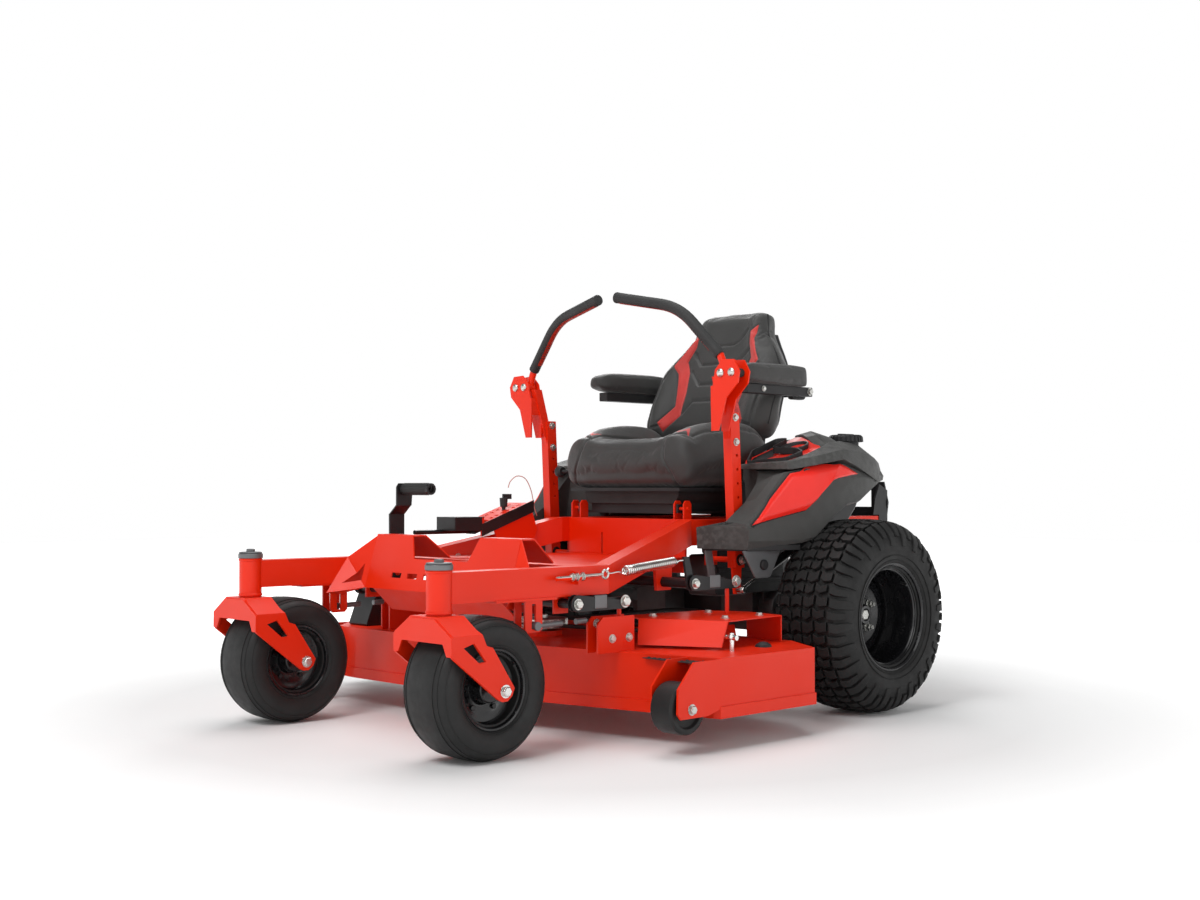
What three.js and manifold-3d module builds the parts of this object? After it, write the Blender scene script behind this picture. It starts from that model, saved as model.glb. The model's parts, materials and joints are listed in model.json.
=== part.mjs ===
// Zero turn mower with a 60 inch class deck, in millimetres, +Z up, facing -Y.
// The model is laid out in a vehicle frame: x = 0 is the middle plane (+X is the operator's left),
// y = 0 is the line through the two caster spindles and z = 0 is the ground.
import * as THREE from 'three';
import { mergeVertices } from 'three/addons/utils/BufferGeometryUtils.js';
import Module from 'manifold-3d';

const wasm = await Module();
wasm.setup();

// Driving dimensions
const GAP = 0.4;                 // running and touching clearance
const CASTER_X = 420.6;          // spindle to middle plane
const CASTER_R = 172;            // front tyre radius
const CASTER_TRAIL = 110.4;      // axle behind spindle
const REAR_R = 279;              // 22 inch rear tyre
const REAR_X = 583;              // middle of the rear tyre
const REAR_Y = 1419;             // rear axle
const ARM_IN = 395;              // inner face of a front arm
const ARM_OUT = 446;             // outer face of a front arm
const ARM_Z = [375, 449];        // bottom and top of a front arm
const KICK_Y = [530, 1000];      // start and end of the rise behind the footwell
const RAIL_RISE = 107;           // rise of the rail through the kick
const RAIL_SHIFT = 146;          // inward shift of the rail through the kick
const RAIL_END = 1900;           // rear end of the main rails
const DECK_SIDE = 756;           // deck side wall
const DECK_Z = [80, 228];        // bottom edge and top skin of the deck
const BLADE_R = 245;
const SPINDLES = [[485, 818], [0, 700], [-485, 818]];
const CHUTE_TIP = -950;          // outer edge of the discharge chute
const CHUTE_HINGE = [-771, 222]; // x, z of the chute hinge
const SCALP_AXLE = [505, 113];   // y, z of the left anti-scalp wheel
const SCALP_SHIFT = -100;        // the right one stands this much further forward
const BUMPER_Y = 1950;           // rear face of the guard
const LIFT_ARM = 165;            // pivot to hanger of both lift linkages
const LIFT_FRONT = [396, 356];   // y, z of the front lift shaft
const LIFT_REAR = [828, 389];    // y, z of the rear lift shaft
const LIFT_X = 459;              // middle plane of the lift arms
const LEVER_PIVOT = [1090, 442]; // y, z of the lap bar pivot
const LEVER_X = 390;             // middle of the lever post
const SWING = [421, 970];        // x, z of the swing-out bolt
const SEAT_PIVOT = [1048, 587];  // y, z of the seat hinge
const PEDAL_PIVOT = [455, 400];  // y, z of the foot pedal pivot
const FUEL_CAP = [370, 1633];     // x, y of the filler in the left fender
const IGNITION = [-340, 1290];    // x, y of the controls in the right fender
const CLUTCH = [-340, 1352];
const THROTTLE = [-410, 1340];
const PLATE_SLOPE = THREE.MathUtils.degToRad(19);

// Geometry helpers
function solid(geometry) {
  const plain = geometry.clone();
  plain.deleteAttribute('normal');
  plain.deleteAttribute('uv');
  const merged = mergeVertices(plain, 1e-3);
  const mesh = new wasm.Mesh({
    numProp: 3,
    vertProperties: new Float32Array(merged.attributes.position.array),
    triVerts: new Uint32Array(merged.index.array),
  });
  return new wasm.Manifold(mesh);
}

function geometryOf(body) {
  const mesh = body.getMesh();
  const geometry = new THREE.BufferGeometry();
  geometry.setAttribute('position', new THREE.BufferAttribute(new Float32Array(mesh.vertProperties), 3));
  geometry.setIndex(new THREE.BufferAttribute(new Uint32Array(mesh.triVerts), 1));
  return geometry;
}

function join(...bodies) {
  return bodies.reduce((whole, body) => whole.add(body));
}

function cut(body, ...tools) {
  return tools.reduce((left, tool) => left.subtract(tool), body);
}

function mirrored(geometry) {
  const copy = geometry.clone().scale(-1, 1, 1);
  const index = copy.index.array;
  for (let i = 0; i < index.length; i += 3) {
    const second = index[i + 1];
    index[i + 1] = index[i + 2];
    index[i + 2] = second;
  }
  return copy;
}

function block([x0, x1], [y0, y1], [z0, z1]) {
  const box = new THREE.BoxGeometry(x1 - x0, y1 - y0, z1 - z0);
  return solid(box.translate((x0 + x1) / 2, (y0 + y1) / 2, (z0 + z1) / 2));
}

function rod(axis, radius, from, to, [a, b], sides = 12, radiusTo = radius) {
  const tube = new THREE.CylinderGeometry(radiusTo, radius, to - from, sides);
  const middle = (from + to) / 2;
  if (axis === 'x') return solid(tube.rotateZ(-Math.PI / 2).translate(middle, a, b));
  if (axis === 'y') return solid(tube.translate(a, middle, b));
  return solid(tube.rotateX(Math.PI / 2).translate(a, b, middle));
}

function outline(points) {
  return new THREE.Shape(points.map(([u, v]) => new THREE.Vector2(u, v)));
}

function extruded(points, depth) {
  return new THREE.ExtrudeGeometry(outline(points), { depth, bevelEnabled: false });
}

// A plate whose outline is given in (y, z) and whose thickness runs along X
function plateX(points, x0, x1) {
  const geometry = extruded(points, x1 - x0);
  const turn = new THREE.Matrix4().makeBasis(
    new THREE.Vector3(0, 1, 0), new THREE.Vector3(0, 0, 1), new THREE.Vector3(1, 0, 0));
  return solid(geometry.applyMatrix4(turn).translate(x0, 0, 0));
}

// A plate whose outline is given in (x, z) and whose thickness runs along Y
function plateY(points, y0, y1) {
  const geometry = extruded(points, y1 - y0);
  return solid(geometry.rotateX(Math.PI / 2).translate(0, y1, 0));
}

// A plate whose outline is given in (x, y) and whose thickness runs along Z
function plateZ(points, z0, z1) {
  return solid(extruded(points, z1 - z0).translate(0, 0, z0));
}

// A ring turned about the X axis from a closed list of (radius, x) points
function turnedX(profile, sides) {
  const points = [...profile, profile[0]].map(([r, x]) => new THREE.Vector2(r, x));
  const lathe = new THREE.LatheGeometry(points, sides, Math.PI / sides);
  return solid(lathe.rotateZ(-Math.PI / 2));
}

// A tube of round section along a bent line with softened corners
function bentRod(points, radius, steps, sides = 8) {
  const spots = points.map((p) => new THREE.Vector3(...p));
  const path = new THREE.CurvePath();
  const blend = 0.28;
  let start = spots[0];
  for (let i = 1; i < spots.length - 1; i += 1) {
    const before = spots[i].clone().lerp(spots[i - 1], blend);
    const after = spots[i].clone().lerp(spots[i + 1], blend);
    path.add(new THREE.LineCurve3(start, before));
    path.add(new THREE.QuadraticBezierCurve3(before, spots[i], after));
    start = after;
  }
  path.add(new THREE.LineCurve3(start, spots[spots.length - 1]));
  const section = new THREE.Shape();
  for (let i = 0; i < sides; i += 1) {
    const angle = (2 * Math.PI * i) / sides;
    const move = i === 0 ? 'moveTo' : 'lineTo';
    section[move](radius * Math.cos(angle), radius * Math.sin(angle));
  }
  return solid(new THREE.ExtrudeGeometry(section, { steps, bevelEnabled: false, extrudePath: path }));
}

// Triangles of a ring's cap, wound along the ring (forward) or against it
function capTriangles(ring, capAxes, forward) {
  const flat = ring.map((p) => new THREE.Vector2(p[capAxes[0]], p[capAxes[1]]));
  const triangles = THREE.ShapeUtils.triangulateShape(flat, []);
  const follows = ([a, b, c]) => [[a, b], [b, c], [c, a]].some(([p, q]) => q === (p + 1) % ring.length);
  const along = triangles.some(follows);
  return along === forward ? triangles : triangles.map(([a, b, c]) => [a, c, b]);
}

function signedVolume(positions, index) {
  const corner = (i) => new THREE.Vector3().fromArray(positions, index[i] * 3);
  let volume = 0;
  for (let i = 0; i < index.length; i += 3) {
    volume += corner(i).dot(corner(i + 1).cross(corner(i + 2)));
  }
  return volume;
}

// A closed skin through equal rings of points; its two ends are capped
function loft(rings, capAxes = [0, 2]) {
  const positions = rings.flat(2);
  const index = [];
  const count = rings[0].length;
  for (let r = 0; r + 1 < rings.length; r += 1) {
    for (let i = 0; i < count; i += 1) {
      const a = r * count + i;
      const b = r * count + ((i + 1) % count);
      index.push(a, b, b + count, a, b + count, a + count);
    }
  }
  const last = (rings.length - 1) * count;
  capTriangles(rings[0], capAxes, false).forEach((t) => index.push(...t));
  capTriangles(rings[rings.length - 1], capAxes, true).forEach((t) => index.push(...t.map((v) => v + last)));
  if (signedVolume(positions, index) < 0) index.reverse();
  const geometry = new THREE.BufferGeometry();
  geometry.setAttribute('position', new THREE.BufferAttribute(new Float32Array(positions), 3));
  geometry.setIndex(index);
  return solid(geometry);
}

function sheared(body, slope, fromY) {
  const shear = new THREE.Matrix4().set(1, slope, 0, -slope * fromY, 0, 1, 0, 0, 0, 0, 1, 0, 0, 0, 0, 1);
  return solid(geometryOf(body).applyMatrix4(shear));
}

// Frame
function railRun(inset, rearEnd) {
  const [low, high] = [ARM_Z[0] + inset, ARM_Z[1] - inset];
  const x = [ARM_IN + inset, ARM_OUT - inset];
  const arm = block(x, [18, KICK_Y[0]], [low, high]);
  const kickOutline = [[KICK_Y[0] - 1, low], [KICK_Y[1] + 1, low + RAIL_RISE],
    [KICK_Y[1] + 1, high + RAIL_RISE], [KICK_Y[0] - 1, high]];
  const slope = -RAIL_SHIFT / (KICK_Y[1] - KICK_Y[0]);
  const kick = sheared(plateX(kickOutline, ...x), slope, KICK_Y[0]);
  const railX = x.map((v) => v - RAIL_SHIFT);
  const rail = block(railX, [KICK_Y[1], rearEnd], [low + RAIL_RISE, high + RAIL_RISE]);
  return join(arm, kick, rail);
}

function frameRail() {
  const wall = 5;
  const tube = rod('z', 30, 350, 455, [CASTER_X, 0], 16);
  const bore = rod('z', 17.8, 340, 460, [CASTER_X, 0], 10);
  const hollow = cut(railRun(wall, RAIL_END + 10), block([300, 500], [0, 60], [300, 500]));
  const linkTabs = [[400, 406], [438, 444]].map(([x0, x1]) => cut(
    plateX([[247, 300], [255, 292], [295, 292], [303, 300], [303, 377], [247, 377]], x0, x1),
    block([x0 - 1, x1 + 1], [268, 282], [300, 362])));
  const flange = block([ARM_IN + 2, ARM_OUT + 6], [150, 345], [370, 376]);
  const frontTab = cut(
    plateX([[372, 330], [420, 330], [420, 377], [372, 377]], 404, 410),
    rod('x', 12.8, 400, 420, LIFT_FRONT, 12));
  const rearTab = cut(
    plateX([[800, 366], [856, 366], [862, 452], [794, 436]], 346, 356),
    rod('x', 14.9, 340, 360, LIFT_REAR, 12));
  const springTab = block([ARM_OUT - 2, 470], [400, 406], [405, 438]);
  const eyebolt = rod('y', 5, 330, 430, [466, 421], 8);
  const leverPin = rod('x', 8, 296, 412, LEVER_PIVOT, 10);
  const leverTab = plateX([[1068, 424], [1112, 424], [1112, 486], [1068, 486]], 288, 298);
  return join(cut(join(railRun(0, RAIL_END), tube), hollow, bore), ...linkTabs, flange, frontTab,
    rearTab, springTab, eyebolt, leverPin, leverTab);
}

function frameLeft() {
  return geometryOf(frameRail());
}

function frameRight() {
  const pedalPin = rod('x', 8, 362, ARM_IN + 2, PEDAL_PIVOT, 10);
  return mirrored(geometryOf(join(frameRail(), pedalPin)));
}

// Folded front panel: leaning face, top flange, rear slope, lowered middle and two wings
function frontPanel() {
  const t = 4;
  const half = 313;
  const face = [[307, 366], [350, 512], [391, 512], [456, 450], [459, 453], [393, 516], [347, 516], [303, 366]];
  const hat = plateX(face, -half, half);
  const dip = loft([
    [[-118, 280, 452], [118, 280, 452], [154, 280, 530], [-154, 280, 530]],
    [[-118, 480, 452], [118, 480, 452], [154, 480, 530], [-154, 480, 530]],
  ]);
  const flange = plateX([[303, 366], [307, 366], [372, 306], [369, 303]], -half + 40, half - 40);
  const slots = [-180, -108, -36, 36, 108, 180].map((x) => block([x - 22, x + 22], [280, 350], [398, 412]));
  const wing = (side) => {
    const ring = (shift) => [[side * half, 303 + shift, 366], [side * half, 347 + shift, 512],
      [side * (ARM_IN - GAP), 300 + shift, 449], [side * (ARM_IN - GAP), 228 + shift, 350],
      [side * (ARM_IN - GAP), 272 + shift, 344]];
    const plate = loft([ring(0), ring(t)]);
    const hole = loft([200, 400].map((y) => [[side * 330, y, 386], [side * 332, y, 432], [side * 372, y, 377]]));
    return cut(plate, hole);
  };
  return geometryOf(join(cut(hat, dip, ...slots), flange, wing(1), wing(-1)));
}

function floorPan() {
  const shape = [[-350, 460], [350, 460], [350, 640], [244, 985], [244, 1028], [-244, 1028], [-244, 985], [-350, 640]];
  const pan = plateZ(shape, 440, 446);
  const rib = plateX([[470, 442], [1010, 442], [1010, 415], [470, 415]], -4, 4);
  const crossRib = plateY([[-300, 442], [300, 442], [300, 418], [-300, 418]], 640, 648);
  return geometryOf(join(pan, rib, crossRib));
}

function seatPedestal() {
  const wide = ARM_IN - RAIL_SHIFT - GAP;
  const face = cut(
    plateY([[-wide, 400], [wide, 400], [wide, 556], [-wide, 556]], 1030, 1036),
    block([-104, -98], [1020, 1040], [432, 512]));
  const top = block([-wide, wide], [1030, 1064], [552, 556]);
  const sides = [-1, 1].map((s) => {
    const x = s > 0 ? [wide - 6, wide] : [-wide, 6 - wide];
    return block(x, [1030, 1500], [486, 556]);
  });
  const back = block([-wide, wide], [1494, 1500], [486, 556]);
  const rest = block([-wide, wide], [1400, 1500], [552, 556]);
  const ears = [-1, 1].flatMap((s) => [[198, 203], [236, 241]].map(([a, b]) => {
    const x = s > 0 ? [a, b] : [-b, -a];
    return plateX([[1032, 553], [1064, 553], [1064, 600], [1056, 610], [1040, 610], [1032, 600]], ...x);
  }));
  const pins = [-1, 1].map((s) => rod('x', 5, s > 0 ? 199 : -246, s > 0 ? 246 : -199, SEAT_PIVOT, 10));
  return geometryOf(join(face, top, ...sides, back, rest, ...ears, ...pins));
}

function rearFrame() {
  const wide = ARM_IN - RAIL_SHIFT - GAP;
  const plate = cut(block([-wide, wide], [1520, 1904], [464, 472]), rod('z', 40, 450, 480, [0, 1715], 12));
  const cross = block([-300, 300], [RAIL_END + GAP, BUMPER_Y - 12], [482, 556]);
  const riser = block([-wide, wide], [1898, 1904], [466, 500]);
  const guard = cut(
    plateY([[-300, 556], [300, 556], [306, 600], [290, 668], [-290, 668], [-306, 600]], BUMPER_Y - 6, BUMPER_Y),
    ...[-195, -65, 65, 195].map((x) => block([x - 45, x + 45], [1900, 2000], [585, 640])));
  const lowLip = block([-300, 300], [BUMPER_Y - 14, BUMPER_Y], [500, 560]);
  const wings = [-1, 1].map((s) => {
    const x = s > 0 ? [296, 302] : [-302, -296];
    return plateX([[1870, 560], [BUMPER_Y - 2, 560], [BUMPER_Y - 2, 640], [1905, 660], [1880, 610]], ...x);
  });
  const stay = [-1, 1].map((s) => block(s > 0 ? [292, 302] : [-302, -292], [RAIL_END + 2, BUMPER_Y - 2], [540, 600]));
  return geometryOf(join(plate, cross, riser, guard, lowLip, ...wings, ...stay));
}

// Moulded fender: each station gives the inner wall and crown, then the outer crown and wall, which lie further back
function fenderShell(offset) {
  const stations = [
    // inner y, x, bottom, top; outer y, crown x, crown top, wall x, wall bottom
    [968, 338, 484, 541, 1034, 482, 543, 490, 492],
    [1000, 378, 484, 546, 1060, 486, 556, 494, 500],
    [1036, 415, 500, 553, 1110, 494, 606, 505, 504],
    [1162, 411, 540, 672, 1180, 504, 694, 528, 506],
    [1192, 280, 560, 716, 1250, 518, 706, 549, 509],
    [1255, 272, 560, 745, 1332, 532, 724, 548, 561],
    [1344, 272, 560, 774, 1425, 524, 742, 541, 574],
    [1389, 272, 560, 818, 1469, 520, 752, 536, 622],
    [1506, 272, 560, 808, 1585, 498, 748, 514, 669],
    [1668, 272, 560, 786, 1737, 437, 742, 457, 677],
    [1749, 272, 560, 723, 1791, 385, 700, 405, 660],
  ];
  const o = offset;
  return loft(stations.map(([yi, xi, zb, zt, yo, xt, zo, xb, zl], i) => {
    const shiftY = i === 0 ? o : (i === stations.length - 1 ? -o : 0);
    return [[xi + o, yi + shiftY, zb - 3 * o], [xi + o, yi + shiftY, zt - o],
      [xt - o, yo + shiftY, zo - o], [xb - o, yo + shiftY, zl - 3 * o]];
  }));
}

function fender(side) {
  const shell = cut(fenderShell(0), fenderShell(5));
  const tray = block([298, 476], [1268, 1412], [600, 900]);
  const capHole = rod('z', 48, 700, 900, FUEL_CAP, 16);
  const body = side > 0 ? cut(shell, tray, capHole) : cut(shell, tray);
  return side > 0 ? geometryOf(body) : mirrored(geometryOf(body));
}

// Sloping insert in the crown of a fender, shared by the tray and the control panel
function crownPlate(thickness, drop) {
  const ring = (x) => {
    const top = (y) => 740 + (y - 1255) * 0.33 - (x - 300) * 0.19 - drop;
    return [[x, 1270, top(1270)], [x, 1410, top(1410)], [x, 1410, top(1410) - thickness],
      [x, 1270, top(1270) - thickness]];
  };
  return loft([ring(300), ring(474)], [1, 2]);
}

function consoleTray() {
  const centre = [397, 1350];
  const cup = cut(rod('z', 42, 668, 754, centre, 16), rod('z', 38, 674, 800, centre, 16));
  const bin = cut(block([306, 350], [1284, 1394], [696, 744]), block([309, 347], [1287, 1391], [700, 900]));
  const deckPlate = cut(crownPlate(5, 4), rod('z', 41, 600, 900, centre, 16),
    block([308, 348], [1286, 1392], [600, 900]));
  return geometryOf(join(deckPlate, cup, bin));
}

function controlPanel() {
  const holes = [IGNITION, CLUTCH].map(([x, y]) => rod('z', 10, 600, 900, [-x, y], 8));
  const slot = block([-THROTTLE[0] - 5, -THROTTLE[0] + 5], [THROTTLE[1] - 50, THROTTLE[1] + 50], [600, 900]);
  return mirrored(geometryOf(cut(crownPlate(5, 4), ...holes, slot)));
}

function engine() {
  const crank = block([-135, 135], [1590, 1840], [474, 640]);
  const crankTop = rod('z', 120, 636, 700, [0, 1715], 16);
  const housing = rod('z', 172, 686, 762, [0, 1710], 20);
  const screen = rod('z', 118, 760, 792, [0, 1710], 16);
  const barrels = [-1, 1].map((s) => {
    const box = new THREE.BoxGeometry(108, 150, 120).translate(0, 75, 0).rotateZ(-s * 0.85);
    return solid(box.translate(s * 60, 1748, 600));
  });
  const airBox = rod('y', 62, 1570, 1760, [-60, 705], 12);
  const muffler = rod('x', 44, -150, 150, [1852, 532], 12);
  return geometryOf(join(crank, crankTop, housing, screen, ...barrels, airBox, muffler));
}

function transaxle() {
  const box = block([120, 246], [1330, 1505], [216, 350]);
  const cap = rod('x', 62, 240, 300, [REAR_Y, REAR_R], 12);
  const tube = rod('x', 36, 290, 432, [REAR_Y, REAR_R], 12, 30);
  const axle = rod('x', 16, 420, REAR_X - 12, [REAR_Y, REAR_R], 10);
  const mount = plateX([[1360, 300], [1480, 300], [1480, 481.5], [1360, 481.5]], 256, 266);
  const pump = rod('z', 46, 345, 400, [180, 1400], 12);
  const pulley = rod('z', 62, 404, 424, [180, 1400], 12);
  const shaft = rod('z', 9, 395, 410, [180, 1400], 8);
  return join(box, cap, tube, axle, mount, pump, pulley, shaft);
}

// Height-of-cut plate: a sloping perforated cover over a channel with a square end stop
function heightPlate() {
  const rise = Math.tan(PLATE_SLOPE);
  const at = (y) => 551 + (y - 732) * rise;
  const bar = (x0, x1, up, down, y0, y1) => plateX(
    [[y0, at(y0) + down], [y1, at(y1) + down], [y1, at(y1) + up], [y0, at(y0) + up]], x0, x1);
  const top = cut(bar(-362, -270, 0, -4, 732, 880),
    ...[0, 1, 2, 3, 4, 5].flatMap((i) => [-340, -292].map((x) => {
      const y = 748 + i * 22;
      return block([x - 6, x + 6], [y - 5, y + 5], [500, 650]);
    })),
    rod('z', 7, 500, 700, [-316, 818], 8));
  const channel = bar(-272, -266, 2, -34, 690, 896);
  const outer = bar(-366, -361, 0, -26, 732, 880);
  const stop = cut(block([-350, -266], [590, 700], [520, 559]), block([-346, -271], [580, 710], [500, 549]));
  const stand = plateX([[770, 446.6], [880, 446.6], [912, 520], [892, 572], [740, 522]], -272, -266);
  const foot = block([-286, -266], [790, 850], [446.6, 452]);
  return geometryOf(join(top, channel, outer, stop, stand, foot));
}

function lanyardWire() {
  return geometryOf(bentRod([[-316, 836, 648], [-312, 842, 668], [-304, 862, 684], [-298, 890, 676],
    [-296, 912, 640], [-296, 925, 590], [-298, 938, 561]], 1.6, 12, 6));
}

function liftSpring() {
  const coil = rod('y', 13, 558, 757, [466, 443], 10);
  const front = bentRod([[466, 560, 443], [466, 520, 441], [466, 453, 426]], 3.4, 4, 6);
  const rear = bentRod([[466, 755, 443], [466, 775, 446], [466, 792, 447]], 3.4, 3, 6);
  return join(coil, front, rear);
}

function fuelCap() {
  const neck = rod('z', 40, 760, 792, [0, 0], 14);
  const cap = rod('z', 54, 790, 812, [0, 0], 10, 46);
  return geometryOf(join(neck, cap).translate([0, 0, -760]));
}

// Front casters, built about the foot of the spindle
function casterFork() {
  const arch = plateY([[-111, 130], [-103, 130], [-103, 304], [-46, 341], [46, 341], [103, 304], [103, 130],
    [111, 130], [111, 309], [49, 349], [-49, 349], [-111, 309]], -60, 160);
  const side = plateX([[-46, 351], [-46, 259], [90, 153], [101, 148], [117, 148], [132, 160], [139, 178],
    [73, 276], [54, 282], [36, 320], [36, 351]], -130, 130);
  const windows = plateX([[-14, 281], [32, 243], [52, 245], [17, 290]], -130, 130);
  const apron = plateY([[-46, 345], [46, 345], [111, 305], [111, 262], [92, 262], [78, 290], [-78, 290],
    [-92, 262], [-111, 262], [-111, 305]], -50, -44);
  const spindle = rod('z', 16, 345, 460, [0, 0], 12);
  const cap = rod('z', 32.5, 455.6, 467.6, [0, 0], 16);
  const axle = rod('x', 8, -119, 119, [CASTER_TRAIL, CASTER_R], 10);
  return geometryOf(join(cut(arch.intersect(side), windows), apron, spindle, cap, axle));
}

function casterTyre() {
  const half = [[84.6, 61.4], [97, 62], [120, 83], [148, 82], [165, 64], [172, 30]];
  return ringFrom(half, CASTER_R, 20);
}

function casterRim() {
  const half = [[8.8, 60], [24, 60], [24, 5], [77, 5], [77, 68], [94, 68], [84, 61]];
  return ringFrom(half, 0, 16);
}

function rearTyre() {
  const half = [[139.6, 106], [152.6, 107], [196, 127], [240, 124], [268, 104], [279, 66]];
  return ringFrom(half, REAR_R, 24);
}

function rearRim() {
  const half = [[124, 113], [150.5, 113], [150.5, 107.5], [139, 107]];
  const barrel = ringSolid(half, 0, 20);
  const web = turnedX([[34, -28], [126, -28], [126, -22], [34, -22]], 20);
  const hub = turnedX([[18, -72], [40, -72], [44, -30], [44, -8], [18, -8]], 12);
  return geometryOf(join(barrel, web, hub));
}

// Turns half a wheel section and its mirror image; flats of a tyre touch the ground
function ringSolid(half, flatRadius, sides) {
  const scale = flatRadius > 0 ? 1 / Math.cos(Math.PI / sides) : 1;
  const section = [...half.map(([r, x]) => [r * scale, x]), ...half.map(([r, x]) => [r * scale, -x]).reverse()];
  return turnedX(section.reverse(), sides);
}

function ringFrom(half, flatRadius, sides) {
  return geometryOf(ringSolid(half, flatRadius, sides));
}

// Lap bars
function leverPost() {
  const lean = (z) => 1090 - (z - 442) * 0.052;
  const channel = plateX([[lean(442) - 19, 420], [lean(442) + 19, 420], [lean(862) + 19, 862],
    [lean(862) - 19, 862]], LEVER_X - 15, LEVER_X + 15);
  const holes = [620, 660, 700, 740].map((z) => rod('x', 5, 370, 410, [lean(z) + 3, z], 6));
  const upper = plateX([[1058, 770], [1086, 770], [1030, 962], [1000, 962]], LEVER_X - 11, LEVER_X + 11);
  const pinHole = rod('x', 8.8, 360, 420, LEVER_PIVOT, 10);
  const crank = plateX([[1080, 345], [1105, 345], [1112, 440], [1068, 440]], LEVER_X - 3, LEVER_X + 3);
  const crankHole = rod('x', 5, 380, 400, [1092, 357], 8);
  const cheek = (y0, y1) => plateY([[386, 808], [412, 808], [440, 898], [484, 940], [490, 972], [470, 1006], [428, 1008],
    [400, 980], [384, 900]], y0, y1);
  const bolts = [rod('y', 7, 984, 1042, SWING, 8), rod('y', 7, 984, 1042, [461, 970], 8)];
  const bridge = block([384, 402], [990, 1038], [880, 935]);
  return join(cut(join(channel, crank), pinHole, crankHole, ...holes), upper, cheek(990, 995),
    cheek(1033, 1038), bridge, ...bolts);
}

const GRIP_LINE = [[399.6, 1014.4, 1023], [262.2, 990.3, 1169.5], [36.8, 954.9, 1213.8]];

const TUBE_LINE = [[403.7, 1015.1, 1018.7], GRIP_LINE[1], [44, 956.2, 1212.4]];

function leverTube() {
  const lug = rod('y', 15, 1001, 1027, SWING, 12);
  const stub = bentRod([[419, 1014.4, 974], [411, 1014.7, 997], TUBE_LINE[0]], 10.5, 1, 6);
  const tube = bentRod(TUBE_LINE, 9.5, 7, 6);
  return join(cut(join(lug, stub), rod('y', 7.6, 990, 1040, SWING, 10)), tube);
}

function leverGrip() {
  const sleeve = bentRod(GRIP_LINE, 16.5, 8);
  const bore = bentRod(TUBE_LINE, 12, 7, 6);
  return cut(sleeve, bore);
}

function damperLine() {
  const front = new THREE.Vector3(404, 1092, 357);
  const rear = new THREE.Vector3(404, 1376, 487);
  return { front, rear };
}

function onDamper(distance) {
  const { front, rear } = damperLine();
  return front.clone().lerp(rear, distance / front.distanceTo(rear)).toArray();
}

function damperTube() {
  const barrel = cut(bentRod([onDamper(128), onDamper(200), onDamper(300)], 12, 1, 10),
    bentRod([onDamper(110), onDamper(180), onDamper(272)], 7, 1, 8));
  const eye = rod('x', 9, 312, 412, [damperLine().rear.y - 12, damperLine().rear.z - 4], 12);
  const bracket = plateX([[1330, 470], [1392, 470], [1392, 500], [1330, 500]], 300.4, 314);
  return join(barrel, eye, bracket);
}

function damperRod() {
  const stem = bentRod([onDamper(6), onDamper(80), onDamper(190)], 4.5, 1, 8);
  const eye = rod('x', 10, 396, 412, [1092, 357], 12);
  return join(stem, eye);
}

// Seat
function seatBase() {
  const box = block([-185, 185], [1068, 1470], [572, 611]);
  const plate = block([-212, 212], [1068, 1480], [571, 578]);
  const pillars = [[-150, 1100], [150, 1100], [-150, 1400], [150, 1400]].map(([x, y]) => (
    block([x - 16, x + 16], [y - 16, y + 16], [608, 640])));
  const pan = block([-232, 232], [1022, 1490], [638, 648]);
  const ears = [-1, 1].map((s) => cut(
    plateX([[1036, 574], [1072, 574], [1072, 600], [1036, 600]], s > 0 ? 206 : -212, s > 0 ? 212 : -206),
    rod('x', 5.5, s > 0 ? 200 : -220, s > 0 ? 220 : -200, SEAT_PIVOT, 10)));
  const uprights = [-1, 1].map((s) => plateX(
    [[1482, 640], [1490, 640], [1494, 790], [1526, 962], [1516, 962], [1484, 790]], s > 0 ? 120 : -160, s > 0 ? 160 : -120));
  const bar = block([-262, 262], [1516, 1526], [932, 962]);
  const pins = [-1, 1].map((s) => rod('x', 7, s > 0 ? 255 : -300, s > 0 ? 300 : -255, [1521, 947], 10));
  return geometryOf(join(box, plate, ...pillars, pan, ...ears, ...uprights, bar, ...pins));
}

function seatCushion() {
  const ring = (x, front, low, high) => [[x, front, low], [x, front, 750], [x, front + 30, high - 14],
    [x, front + 90, high], [x, 1250, high], [x, 1338, 785], [x, 1424, 772], [x, 1424, low]].reverse();
  const rings = [ring(-268, 1045, 668, 806), ring(-210, 1004, 652, 838), ring(-130, 1000, 652, 797),
    ring(130, 1000, 652, 797), ring(210, 1004, 652, 838), ring(268, 1045, 668, 806)];
  return geometryOf(loft(rings, [1, 2]));
}

function seatBack() {
  const ring = (z, half, front, back) => [[-half, front + 12, z], [-half + 40, front, z], [half - 40, front, z],
    [half, front + 12, z], [half, back - 20, z], [half - 30, back, z], [-half + 30, back, z], [-half, back - 20, z]];
  return geometryOf(loft([ring(792, 232, 1345, 1476), ring(830, 250, 1352, 1486), ring(950, 250, 1402, 1508),
    ring(1050, 200, 1446, 1536), ring(1130, 142, 1482, 1572), ring(1205, 118, 1516, 1606),
    ring(1222, 100, 1530, 1596)], [0, 1]));
}

function armrest() {
  const bracket = plateX([[1240, 934], [1525, 932], [1534, 947], [1525, 962], [1240, 962]], 268, 276);
  const cradle = plateX([[1216, 950], [1500, 950], [1500, 962], [1216, 962]], 266, 332);
  const pad = plateX([[1188, 984], [1206, 962], [1500, 962], [1504, 1010], [1490, 1020], [1260, 1020]], 264, 336);
  return cut(join(bracket, cradle, pad), rod('x', 7.6, 250, 300, [1521, 947], 10));
}

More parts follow.
